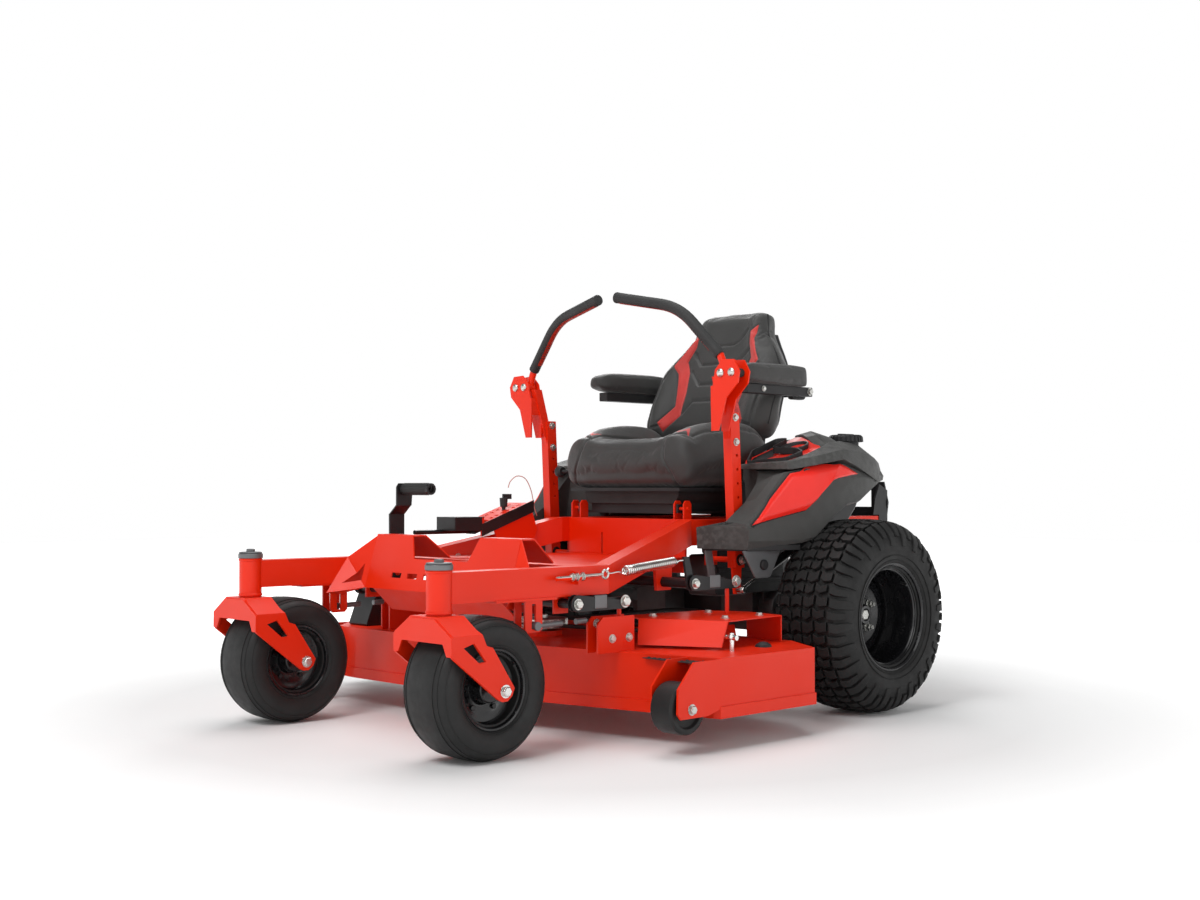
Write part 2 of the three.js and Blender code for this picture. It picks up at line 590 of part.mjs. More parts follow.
// Deck
function deckOutline(inset) {
  const i = inset;
  return [[0, 440 + i], [742, 604 + i], [DECK_SIDE - i, 612 + i], [DECK_SIDE - i, 982 - i / 2], [600 - i / 2, 1080 - i],
    [-600 + i / 2, 1080 - i], [i - DECK_SIDE, 960 - i / 2], [i - DECK_SIDE, 560 + i], [-640 + i / 2, 440 + i],
    [-544, 431 + i]];
}

function deckShell() {
  const wall = 5;
  const skin = cut(plateZ(deckOutline(0), ...DECK_Z), plateZ(deckOutline(wall), DECK_Z[0] - 5, DECK_Z[1] - wall));
  const runner = cut(plateZ(deckOutline(-4), DECK_Z[0], DECK_Z[0] + 30), plateZ(deckOutline(2), 70, 120));
  const mouth = block([-800, -740], [582, 892], [70, 214]);
  const bosses = SPINDLES.map(([x, y]) => rod('z', 56, 224, 242, [x, y], 12));
  const bores = SPINDLES.map(([x, y]) => rod('z', 15, 200, 260, [x, y], 12));
  const scalpX = [[752, 758], [664, 670]];
  const scalp = [1, -1].flatMap((s) => scalpX.map(([a, b]) => {
    const shift = s > 0 ? 0 : SCALP_SHIFT;
    const rear = s > 0 ? 614 : 562;
    const shape = [[rear, 226], [514 + shift, 226], [458 + shift, 165], [456 + shift, 106], [467 + shift, 92],
      [560 + shift, 92], [rear, 105]];
    return plateX(shape, s > 0 ? a : -b, s > 0 ? b : -a);
  }));
  const axles = [rod('x', 6, 664, 764, SCALP_AXLE, 8),
    rod('x', 6, -764, -664, [SCALP_AXLE[0] + SCALP_SHIFT, SCALP_AXLE[1]], 8)];
  const link = [1, -1].map((s) => join(...[[424, 430], [462, 468]].map(([a, b]) => plateX(
    [[470, 300], [488, 318], [600, 318], [600, 226], [470, 226]], s > 0 ? a : -b, s > 0 ? b : -a)),
  rod('x', 6, s > 0 ? 424 : -470, s > 0 ? 470 : -424, [566, 250], 8)));
  const rearLug = [1, -1].map((s) => plateX([[930, 226], [1010, 226], [1000, 268], [960, 268]],
    s > 0 ? 456 : -462, s > 0 ? 462 : -456));
  const hangers = [1, -1].flatMap((s) => [
    rod('z', 6, 246, 336, [s * 446, 566], 6), rod('z', 6, 255, 372, [s * 459, 972], 6)]);
  const hinge = rod('y', 6, 600, 880, CHUTE_HINGE, 8);
  const hingeTabs = [[597, 603], [877, 883]].map((y) => block([CHUTE_HINGE[0] - 4.5, -752], y, [214, 227]));
  return geometryOf(cut(join(cut(join(skin, runner), mouth), ...bosses, ...scalp, ...axles, ...link, ...rearLug,
    ...hangers, hinge, ...hingeTabs), ...bores));
}

function beltCover() {
  const top = [[313, 727], [401, 683], [621, 790], [597, 1041], [453, 1066], [336, 1005]];
  const lid = plateZ(top, 297, 300);
  const ring = (s) => [[401, 683 + s, 300], [621, 790 + s, 300], [640, 744 + s, 236], [440, 640 + s, 236]];
  const apron = loft([ring(0), ring(4)]);
  const rear = loft([[[597, 1037, 300], [453, 1062, 300], [453, 1062, 229], [597, 1037, 229]],
    [[597, 1041, 300], [453, 1066, 300], [453, 1066, 229], [597, 1041, 229]]]);
  return cut(join(lid, apron, rear), rod('z', 8, 280, 310, [LIFT_X, 972], 8));
}

function spindle() {
  const shaft = rod('z', 13, 88, 286, [0, 0], 8);
  const pulley = rod('z', 70, 250, 276, [0, 0], 16);
  const collar = rod('z', 24, 84, 104, [0, 0], 8);
  const blade = block([-BLADE_R, BLADE_R], [-30, 30], [92, 98]);
  return geometryOf(join(shaft, pulley, collar, blade));
}

function chute() {
  const [hx, hz] = CHUTE_HINGE;
  const skin = plateY([[hx - 8, hz - 4], [hx - 8, hz + 4], [CHUTE_TIP + 6, 124], [CHUTE_TIP, 118],
    [CHUTE_TIP, 100], [CHUTE_TIP + 6, 100], [CHUTE_TIP + 8, 116]], 584, 893);
  const knuckle = rod('y', 11, 607, 873, CHUTE_HINGE, 10);
  const sides = [[584, 590], [887, 893]].map(([a, b]) => plateY(
    [[hx - 8, hz], [CHUTE_TIP + 4, 120], [CHUTE_TIP + 4, 100], [hx - 8, 120]], a, b));
  return geometryOf(cut(join(skin, knuckle, ...sides), rod('y', 6.6, 595, 885, CHUTE_HINGE, 8)));
}

function antiScalpWheel() {
  return geometryOf(turnedX([[6.4, -36], [60, -36], [63.5, -28], [63.5, 28], [60, 36], [6.4, 36]], 16));
}

// Deck lift
function liftArm(x0, x1, [y, z]) {
  return plateX([[y - 14, z - 14], [y + LIFT_ARM, z - 11], [y + LIFT_ARM + 12, z], [y + LIFT_ARM, z + 11],
    [y, z + 13], [y - 14, z + 8]], x0, x1);
}

function liftFront() {
  const shaft = rod('x', 12, -LIFT_X - 4, LIFT_X + 4, LIFT_FRONT, 12);
  const arms = [liftArm(LIFT_X - 4, LIFT_X + 4, LIFT_FRONT), liftArm(-LIFT_X - 4, -LIFT_X + 4, LIFT_FRONT)];
  return geometryOf(join(shaft, ...arms));
}

function liftRear() {
  const shaft = rod('x', 14, -LIFT_X - 4, LIFT_X + 4, LIFT_REAR, 12);
  const arms = [1, -1].flatMap((s) => {
    const x = s > 0 ? [LIFT_X - 4, LIFT_X + 4] : [-LIFT_X - 4, -LIFT_X + 4];
    const lever = plateX([[LIFT_REAR[0] - 16, 372], [LIFT_REAR[0] + 14, 372], [LIFT_REAR[0] - 14, 462],
      [LIFT_REAR[0] - 34, 462]], ...x);
    const [y, z] = LIFT_REAR;
    const arm = plateX([[y - 14, z - 16], [y + 132, z - 8], [y + 140, z + 2], [y + 132, z + 12], [y, z + 14]], ...x);
    return [lever, arm];
  });
  return geometryOf(join(shaft, ...arms));
}

function footPedal() {
  const lower = plateX([[434, 384], [476, 384], [480, 400], [480, 572], [428, 572], [430, 400]], -373, -367);
  const jog = loft([
    [[-373, 428, 570], [-367, 428, 570], [-367, 480, 570], [-373, 480, 570]],
    [[-338, 428, 598], [-332, 428, 598], [-332, 480, 598], [-338, 480, 598]],
  ], [0, 1]);
  const upper = plateX([[428, 596], [480, 596], [484, 650], [476, 661], [436, 661], [428, 650]], -338, -332);
  const peg = rod('x', 17, -334, -205, [455, 644], 12);
  return geometryOf(cut(join(lower, jog, upper, peg), rod('x', 8.8, -380, -360, PEDAL_PIVOT, 10)));
}

function heightSlider() {
  const link = rod('y', 7, 487, 705, [-328, 517], 8);
  const rise = Math.tan(PLATE_SLOPE);
  const at = (y) => 512 + (y - 700) * rise;
  const tongue = plateX([[690, at(690)], [790, at(790)], [790, at(790) + 11], [690, at(690) + 11]], -340, -296);
  return geometryOf(join(link, tongue));
}

function heightPin() {
  const pin = rod('z', 6, -16, 20, [0, 0], 8);
  const knob = rod('z', 11, 6, 34, [0, 0], 12, 13);
  const flag = block([-3, 3], [-4, 30], [30, 46]);
  return geometryOf(join(pin, knob, flag));
}

// Small controls on the right console
function ignitionKey() {
  const barrel = rod('z', 8.4, -14, 6, [0, 0], 14);
  const bow = block([-2, 2], [-11, 11], [5, 28]);
  return geometryOf(join(barrel, bow));
}

function throttleLever() {
  const stem = block([-3, 3], [-4, 4], [0, 36]);
  const foot = rod('x', 7, -4, 4, [0, 0], 12);
  const knob = block([-9, 9], [-12, 12], [29, 43]);
  return geometryOf(join(stem, foot, knob));
}

function clutchKnob() {
  const stem = rod('z', 8.2, -22, 12, [0, 0], 12);
  const head = rod('z', 15, 10, 24, [0, 0], 16, 18);
  return geometryOf(join(stem, head));
}

// Finishes: colour, roughness, metalness
function finish(color, roughness, metalness) {
  return () => new THREE.MeshStandardMaterial({ color, roughness, metalness });
}

const paint = finish(0xf22a00, 0.35, 0.1);
const blackPaint = finish(0x151515, 0.4, 0.1);
const plastic = finish(0x4a4a48, 0.6, 0);
const rubber = finish(0x2b2b2b, 0.85, 0);
const vinyl = finish(0x404040, 0.6, 0);
const castMetal = finish(0x6a6a68, 0.55, 0.7);
const zinc = finish(0xb8b8b4, 0.35, 0.9);

const mower = new THREE.Group();
mower.position.set(-(DECK_SIDE + 8 + CHUTE_TIP) / 2, -(BUMPER_Y + CASTER_TRAIL - CASTER_R) / 2, 0);

function place(name, geometry, material, at = [0, 0, 0]) {
  const mesh = new THREE.Mesh(geometry, material());
  mesh.name = name;
  mesh.position.set(...at);
  mower.add(mesh);
}

function placePair(name, body, material) {
  const geometry = geometryOf(body);
  place(`${name}_left`, geometry, material);
  place(`${name}_right`, mirrored(geometry), material);
}

place('frame_left', frameLeft(), paint);
place('frame_right', frameRight(), paint);
place('front_panel', frontPanel(), paint);
place('floor_pan', floorPan(), paint);
place('seat_pedestal', seatPedestal(), paint);
place('rear_frame', rearFrame(), blackPaint);
place('fender_left', fender(1), plastic);
place('fender_right', fender(-1), plastic);
place('console_tray', consoleTray(), plastic);
place('control_panel', controlPanel(), plastic);
place('engine', engine(), castMetal);
placePair('transaxle', transaxle(), castMetal);
place('height_plate', heightPlate(), paint);
place('lanyard_wire', lanyardWire(), paint);
placePair('lift_spring', liftSpring(), zinc);
place('fuel_cap', fuelCap(), plastic, [...FUEL_CAP, 760]);

for (const [side, sign] of [['left', 1], ['right', -1]]) {
  const wheel = [sign * CASTER_X, CASTER_TRAIL, CASTER_R];
  place(`caster_fork_${side}`, casterFork(), paint, [sign * CASTER_X, 0, 0]);
  place(`caster_tyre_${side}`, casterTyre(), rubber, wheel);
  place(`caster_rim_${side}`, casterRim(), blackPaint, wheel);
  const rear = [sign * REAR_X, REAR_Y, REAR_R];
  place(`rear_tyre_${side}`, rearTyre(), rubber, rear);
  place(`rear_rim_${side}`, sign > 0 ? rearRim() : mirrored(rearRim()), blackPaint, rear);
}

placePair('lever_post', leverPost(), paint);
placePair('lever_arm', leverTube(), paint);
placePair('lever_grip', leverGrip(), rubber);
placePair('damper_tube', damperTube(), blackPaint);
placePair('damper_rod', damperRod(), zinc);

place('seat_base', seatBase(), blackPaint);
place('seat_cushion', seatCushion(), vinyl);
place('seat_back', seatBack(), vinyl);
placePair('armrest', armrest(), vinyl);

place('deck_shell', deckShell(), paint);
placePair('belt_cover', beltCover(), paint);
['left', 'centre', 'right'].forEach((side, i) => {
  place(`spindle_${side}`, spindle(), zinc, [...SPINDLES[i], 0]);
});
place('discharge_chute', chute(), blackPaint);
place('anti_scalp_wheel_left', antiScalpWheel(), rubber, [711, ...SCALP_AXLE]);
place('anti_scalp_wheel_right', antiScalpWheel(), rubber, [-711, SCALP_AXLE[0] + SCALP_SHIFT, SCALP_AXLE[1]]);

place('lift_linkage_front', liftFront(), blackPaint);
place('lift_linkage_rear', liftRear(), blackPaint);
place('foot_pedal', footPedal(), blackPaint);
place('height_slider', heightSlider(), blackPaint);
place('height_pin', heightPin(), blackPaint, [-316, 818, 583]);
place('ignition_key', ignitionKey(), zinc, [...IGNITION, 745.5]);
place('throttle_lever', throttleLever(), rubber, [...THROTTLE, 737]);
place('clutch_knob', clutchKnob(), rubber, [...CLUTCH, 766]);

export default mower;
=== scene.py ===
# Looks, light and camera of the zero turn mower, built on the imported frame.
import json
import math

import bmesh
import bpy
import numpy as np
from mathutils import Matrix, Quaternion, Vector
from mathutils.bvhtree import BVHTree


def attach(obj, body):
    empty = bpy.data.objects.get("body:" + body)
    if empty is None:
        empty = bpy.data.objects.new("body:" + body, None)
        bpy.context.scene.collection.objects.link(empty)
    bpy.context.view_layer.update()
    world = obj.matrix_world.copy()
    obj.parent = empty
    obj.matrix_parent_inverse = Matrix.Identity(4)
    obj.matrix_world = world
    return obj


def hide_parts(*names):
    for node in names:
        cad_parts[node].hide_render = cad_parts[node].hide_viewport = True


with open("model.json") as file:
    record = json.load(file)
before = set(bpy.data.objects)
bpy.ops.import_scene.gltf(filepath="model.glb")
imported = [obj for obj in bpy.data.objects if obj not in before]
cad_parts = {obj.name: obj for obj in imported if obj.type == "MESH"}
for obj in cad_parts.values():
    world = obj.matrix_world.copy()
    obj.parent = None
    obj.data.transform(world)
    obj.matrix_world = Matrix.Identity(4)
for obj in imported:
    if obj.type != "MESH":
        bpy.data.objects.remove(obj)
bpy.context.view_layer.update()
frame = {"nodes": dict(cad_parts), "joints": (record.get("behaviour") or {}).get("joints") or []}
NODES = frame["nodes"]
PIVOT = {j["name"]: Vector(j["pos_m"]) for j in frame["joints"] if "pos_m" in j}
# Middle of the line through the two caster spindles, on the ground: the zero of all coordinates below
ORIGIN = (PIVOT["caster_swivel_left"] + PIVOT["caster_swivel_right"]) / 2
ORIGIN.z = 0
SIDES = (("left", 1), ("right", -1))


# ---------------------------------------------------------------- materials
class Nodes:
    """Short hand for building a node tree."""

    def __init__(self, name):
        self.material = bpy.data.materials.new(name)
        self.material.use_nodes = True
        self.tree = self.material.node_tree
        self.shader = self.tree.nodes["Principled BSDF"]
        self.place = self.add("ShaderNodeTexCoord").outputs["Object"]

    def add(self, kind, links=(), **settings):
        node = self.tree.nodes.new(kind)
        for key, value in settings.items():
            setattr(node, key, value)
        for socket, source in dict(links).items():
            if hasattr(source, "is_output"):
                self.tree.links.new(source, node.inputs[socket])
            else:
                node.inputs[socket].default_value = source
        return node

    def link(self, source, socket):
        self.tree.links.new(source, self.shader.inputs[socket])

    def noise(self, scale, detail=3.0, rough=0.55):
        node = self.add("ShaderNodeTexNoise", {"Vector": self.place, "Scale": scale, "Detail": detail,
                                               "Roughness": rough})
        return node.outputs["Fac"]

    def spread(self, value, low, high, from_low=0.3, from_high=0.7):
        node = self.add("ShaderNodeMapRange", {"Value": value, "From Min": from_low, "From Max": from_high,
                                               "To Min": low, "To Max": high})
        return node.outputs["Result"]

    def blend(self, factor, first, second):
        node = self.add("ShaderNodeMix", data_type="RGBA")
        for index, value in ((0, factor), (6, first), (7, second)):
            if hasattr(value, "is_output"):
                self.tree.links.new(value, node.inputs[index])
            else:
                node.inputs[index].default_value = value
        return node.outputs[2]


def tone(color, gain):
    return (*(min(1.0, c * gain) for c in color), 1.0)


def surface(name, color, rough, metal=0.0, vary=0.12, vary_scale=9.0, grain=0.0, grain_scale=900.0, coat=0.0,
            wear=None, inlay=None, sheen=0.0, cells=False):
    """A finish with drifting colour and gloss, a fine grain, rubbed edges and, if asked, an inlay colour."""
    n = Nodes(name)
    broad = n.noise(vary_scale, 4.0)
    base = n.blend(n.spread(broad, 0.0, 1.0), tone(color, 1 - vary), tone(color, 1 + vary))
    if inlay:
        mask = n.add("ShaderNodeAttribute", attribute_name="inlay").outputs["Fac"]
        sharp = n.spread(mask, 0.0, 1.0, -0.0006, 0.0006)
        base = n.blend(sharp, base, n.blend(n.spread(broad, 0.0, 1.0), tone(inlay, 0.85), tone(inlay, 1.1)))
    if wear:
        edge = n.add("ShaderNodeNewGeometry").outputs["Pointiness"]
        scratch = n.add("ShaderNodeMath", {0: n.spread(edge, 0.0, 1.0, 0.53, 0.62),
                                           1: n.spread(n.noise(60.0, 5.0), 0.0, 1.0, 0.42, 0.62)},
                        operation="MULTIPLY").outputs[0]
        base = n.blend(scratch, base, tone(wear, 1.0))
    n.link(base, "Base Color")
    n.link(n.spread(n.noise(vary_scale * 3.1, 3.0), max(0.04, rough - 0.06), min(1.0, rough + 0.08)), "Roughness")
    n.shader.inputs["Metallic"].default_value = metal
    n.shader.inputs["Specular IOR Level"].default_value = 0.5 if metal else 0.28
    n.shader.inputs["Coat Weight"].default_value = coat
    n.shader.inputs["Coat Roughness"].default_value = 0.12
    n.shader.inputs["Sheen Weight"].default_value = sheen
    if grain:
        height = n.noise(grain_scale, 2.0)
        if cells:
            height = n.add("ShaderNodeTexVoronoi", {"Vector": n.place, "Scale": grain_scale}).outputs["Distance"]
        bump = n.add("ShaderNodeBump", {"Height": height, "Strength": grain, "Distance": 0.001})
        n.link(bump.outputs["Normal"], "Normal")
    return n.material


def floor_finish():
    """Pale floor that turns to plain white away from the object."""
    material = surface("floor", (0.86, 0.86, 0.86), 0.65, vary=0.01, vary_scale=0.7, grain=0.02, grain_scale=40)
    tree = material.node_tree
    shader = tree.nodes["Principled BSDF"]
    flat = tree.nodes.new("ShaderNodeVectorMath")
    flat.operation = "LENGTH"
    tree.links.new(tree.nodes.new("ShaderNodeTexCoord").outputs["Object"], flat.inputs[0])
    fade = tree.nodes.new("ShaderNodeMapRange")
    tree.links.new(flat.outputs["Value"], fade.inputs["Value"])
    for socket, value in (("From Min", 1.3), ("From Max", 3.6), ("To Min", 0.0), ("To Max", 1.0)):
        fade.inputs[socket].default_value = value
    shader.inputs["Emission Color"].default_value = (1, 1, 1, 1)
    tree.links.new(fade.outputs["Result"], shader.inputs["Emission Strength"])
    return material


RED = (0.76, 0.020, 0.0)
GREY = (0.052, 0.052, 0.050)
M = {
    "paint": surface("paint_red", RED, 0.40, vary=0.02, vary_scale=3.0, grain=0.04, grain_scale=420, coat=0.06),
    "black": surface("paint_black", (0.012, 0.012, 0.013), 0.36, vary=0.2, grain=0.05, grain_scale=500, coat=0.15),
    "rim": surface("rim_black", (0.008, 0.008, 0.009), 0.24, vary=0.2, coat=0.5, grain=0.04, grain_scale=350),
    "plastic": surface("moulded_plastic", GREY, 0.55, vary=0.10, grain=0.30, grain_scale=1500,
                       wear=(0.16, 0.16, 0.155)),
    "dark_plastic": surface("dark_plastic", (0.022, 0.022, 0.023), 0.48, vary=0.15, grain=0.2, grain_scale=1400),
    "panel": surface("panel_red", (0.80, 0.020, 0.012), 0.38, vary=0.05, grain=0.08, grain_scale=900, coat=0.2),
    "console": surface("console_red", (0.80, 0.022, 0.010), 0.42, vary=0.06, grain=0.25, grain_scale=1200),
    "tyre": surface("tyre_rubber", (0.013, 0.013, 0.013), 0.62, vary=0.25, vary_scale=14, grain=0.25,
                    grain_scale=700),
    "smooth_tyre": surface("caster_rubber", (0.017, 0.017, 0.017), 0.50, vary=0.2, vary_scale=16, grain=0.12,
                           grain_scale=900),
    "rubber": surface("grip_rubber", (0.028, 0.028, 0.028), 0.58, vary=0.12, grain=0.3, grain_scale=1100),
    "grip_red": surface("grip_red", (0.36, 0.018, 0.006), 0.55, vary=0.1, grain=0.35, grain_scale=1000, cells=True),
    "vinyl": surface("seat_vinyl", (0.034, 0.034, 0.033), 0.46, vary=0.10, grain=0.35, grain_scale=620, sheen=0.15,
                     inlay=(0.50, 0.035, 0.030), cells=True),
    "seam": surface("seam_thread", (0.018, 0.018, 0.018), 0.7, vary=0.2, grain=0.3, grain_scale=1500),
    "zinc": surface("zinc_steel", (0.60, 0.60, 0.57), 0.30, metal=0.95, vary=0.12, vary_scale=40, grain=0.08,
                    grain_scale=600),
    "steel": surface("bright_steel", (0.72, 0.72, 0.70), 0.18, metal=1.0, vary=0.06, grain=0.03, grain_scale=500),
    "cast": surface("cast_metal", (0.10, 0.10, 0.10), 0.55, metal=0.6, vary=0.2, grain=0.45, grain_scale=500),
    "grey_steel": surface("grey_steel", (0.16, 0.165, 0.17), 0.42, metal=0.5, vary=0.12, grain=0.12,
                          grain_scale=600),
    "wire": surface("coated_wire", (0.55, 0.22, 0.18), 0.35, vary=0.1, grain=0.2, grain_scale=1600),
    "floor": floor_finish(),
}


# ---------------------------------------------------------------- shapes
def spline(points, steps=8):
    """A smooth line through the points."""
    p = [Vector(q) for q in points]
    p = [p[0] * 2 - p[1], *p, p[-1] * 2 - p[-2]]
    line = []
    for i in range(1, len(p) - 2):
        for k in range(steps):
            t = k / steps
            a, b, c, d = p[i - 1:i + 3]
            line.append(0.5 * (2 * b + (c - a) * t + (2 * a - 5 * b + 4 * c - d) * t * t
                               + (3 * b - a - 3 * c + d) * t ** 3))
    return [*line, p[-2]]


def softened(points, reach, steps=5):
    """The same open line with round corners; reach is how far a corner starts before its point."""
    p = [Vector(q) for q in points]
    line = [p[0]]
    for a, b, c in zip(p, p[1:], p[2:]):
        first = b + (a - b).normalized() * min(reach, (a - b).length * 0.45)
        last = b + (c - b).normalized() * min(reach, (c - b).length * 0.45)
        line += [first.lerp(b, k / steps).lerp(b.lerp(last, k / steps), k / steps) for k in range(steps + 1)]
    return [*line, p[-1]]


def rounded(outline, reach, steps=3):
    """A closed 2-D outline with round corners."""
    p = [Vector(q) for q in outline]
    line = []
    for i, b in enumerate(p):
        a, c = p[i - 1], p[(i + 1) % len(p)]
        first = b + (a - b).normalized() * min(reach, (a - b).length * 0.45)
        last = b + (c - b).normalized() * min(reach, (c - b).length * 0.45)
        line += [first.lerp(b, k / steps).lerp(b.lerp(last, k / steps), k / steps) for k in range(steps + 1)]
    return line


def basis(direction):
    """Two unit vectors square to a direction and to each other."""
    d = Vector(direction).normalized()
    u = d.cross(Vector((0, 0, 1)) if abs(d.z) < 0.9 else Vector((0, 1, 0))).normalized()
    return u, d.cross(u)


def circle(centre, u, v, radius, sides, phase=0.0):
    turns = (2 * math.pi * (i + phase) / sides for i in range(sides))
    return [centre + (u * math.cos(t) + v * math.sin(t)) * radius for t in turns]


class Shape:
    """Closed solids gathered into one mesh, in metres."""

    def __init__(self):
        self.points, self.faces = [], []

    def put(self, points, faces):
        start = len(self.points)
        self.points += [Vector(p) for p in points]
        self.faces += [tuple(start + i for i in face) for face in faces]
        return self

    def rings(self, rings, closed=False):
        count, total = len(rings[0]), len(rings)
        faces = []
        for k in range(total if closed else total - 1):
            a, b = k * count, (k + 1) % total * count
            faces += [(a + i, a + (i + 1) % count, b + (i + 1) % count, b + i) for i in range(count)]
        if not closed:
            faces += [tuple(range(count)), tuple(range((total - 1) * count, total * count))]
        return self.put([p for ring in rings for p in ring], faces)

    def block(self, low, high):
        (a, b, c), (d, e, f) = low, high
        ring = [(a, b), (d, b), (d, e), (a, e)]
        return self.rings([[(x, y, z) for x, y in ring] for z in (c, f)])

    def plate(self, axis, outline, a, b):
        """axis x: outline in (y, z); axis y: in (x, z); axis z: in (x, y)."""
        order = {"x": lambda u, v, w: (w, u, v), "y": lambda u, v, w: (u, w, v), "z": lambda u, v, w: (u, v, w)}
        return self.rings([[order[axis](p[0], p[1], w) for p in outline] for w in (a, b)])

    def rod(self, start, end, radius, sides=24, radius_end=None):
        start, end = Vector(start), Vector(end)
        u, v = basis(end - start)
        last = radius if radius_end is None else radius_end
        return self.rings([circle(start, u, v, radius, sides), circle(end, u, v, last, sides)])

    def pipe(self, line, radius, sides=14, closed=False):
        line = [Vector(p) for p in line]
        u, v = basis(line[1] - line[0])
        rings = []
        for i, p in enumerate(line):
            before, after = line[max(0, i - 1)], line[min(len(line) - 1, i + 1)]
            along = (after - before).normalized()
            u = (u - along * u.dot(along)).normalized()
            rings.append(circle(p, u, along.cross(u), radius, sides))
        return self.rings(rings, closed)

    def turned(self, profile, centre, axis, sides=64):
        """A ring turned from a closed list of (radius, along) points."""
        d = {"x": Vector((1, 0, 0)), "y": Vector((0, 1, 0)), "z": Vector((0, 0, 1))}[axis]
        u, v = basis(d)
        centre = Vector(centre)
        rings = []
        for i in range(sides):
            t = 2 * math.pi * i / sides
            out = u * math.cos(t) + v * math.sin(t)
            rings.append([centre + out * r + d * a for r, a in profile])
        return self.rings(rings, closed=True)

    def bolt(self, at, axis, size=0.011, height=0.007, washer=True):
        """A hexagon head with a chamfer and a washer; size is half the width across flats."""
        at, d = Vector(at), Vector(axis).normalized()
        u, v = basis(d)
        if washer:
            self.rings([circle(at, u, v, size * 1.45, 24), circle(at + d * 0.0018, u, v, size * 1.45, 24)])
        base = at + d * (0.0018 if washer else 0)
        spots = ((0, 1.15), (height * 0.75, 1.15), (height, 0.95))
        return self.rings([circle(base + d * h, u, v, size * k, 6) for h, k in spots])


def piece(name, shape, finish, body, side=1, bevel=0.0012, angle=32, levels=0, stands_for=(), smooth=True):
    """Makes the mesh, rounds its edges, gives it its finish and lets it ride on its body."""
    mesh = bpy.data.meshes.new(name)
    mesh.from_pydata([(p.x * side, p.y, p.z) for p in shape.points], [], shape.faces)
    work = bmesh.new()
    work.from_mesh(mesh)
    bmesh.ops.recalc_face_normals(work, faces=work.faces)
    work.to_mesh(mesh)
    work.free()
    obj = bpy.data.objects.new(name, mesh)
    bpy.context.scene.collection.objects.link(obj)
    obj.location = ORIGIN
    if smooth:
        mesh.shade_smooth()
        mesh.set_sharp_from_angle(angle=math.radians(angle))
    mesh.materials.append(M[finish])
    if bevel:
        rounding = obj.modifiers.new("rounding", "BEVEL")
        rounding.width, rounding.segments = bevel, 2
        rounding.limit_method, rounding.angle_limit = "ANGLE", math.radians(angle)
        rounding.harden_normals = smooth
    if levels:
        finer = obj.modifiers.new("finer", "SUBSURF")
        finer.levels = finer.render_levels = levels
    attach(obj, body)
    if stands_for:
        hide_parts(*stands_for)
    return obj


def dress(node, finish, bevel=0.0012, angle=33):
    """Keeps a CAD node, with rounded edges and its finish."""
    obj = NODES[node]
    obj.data.materials.clear()
    obj.data.materials.append(M[finish])
    weld = obj.modifiers.new("weld", "WELD")
    weld.merge_threshold = 0.00002
    flat = obj.modifiers.new("flat", "DECIMATE")
    flat.decimate_type, flat.angle_limit = "DISSOLVE", math.radians(0.6)
    rounding = obj.modifiers.new("rounding", "BEVEL")
    rounding.width, rounding.segments = bevel, 2
    rounding.limit_method, rounding.angle_limit = "ANGLE", math.radians(angle)
    even = obj.modifiers.new("even", "WEIGHTED_NORMAL")
    even.keep_sharp = True


# ---------------------------------------------------------------- kept CAD nodes
KEPT = {
    "paint": ["frame_left", "frame_right", "front_panel", "floor_pan", "seat_pedestal", "height_plate",
              "caster_fork_left", "caster_fork_right", "lever_post_left", "lever_post_right", "deck_shell",
              "belt_cover_left", "belt_cover_right"],
    "black": ["rear_frame", "lift_linkage_front", "lift_linkage_rear", "foot_pedal", "height_slider"],
    "cast": ["transaxle_left", "transaxle_right"],
    "zinc": ["spindle_left", "spindle_centre", "spindle_right", "ignition_key"],
    "rubber": ["discharge_chute"],
    "dark_plastic": ["seat_base", "height_pin", "throttle_lever", "clutch_knob"],
}
for finish, names in KEPT.items():
    for node in names:
        dress(node, finish)


# ---------------------------------------------------------------- wheels
def both_ways(half):
    """A closed (radius, x) section from the half with x >= 0, listed bead to crown."""
    line = softened([(r, x, 0) for r, x in half] + [(half[-1][0], -half[-1][1], 0)], 0.012, 3)
    right = [(p.x, p.y) for p in line if p.y >= 0]
    return right + [(r, -x) for r, x in reversed(right) if x > 1e-6]


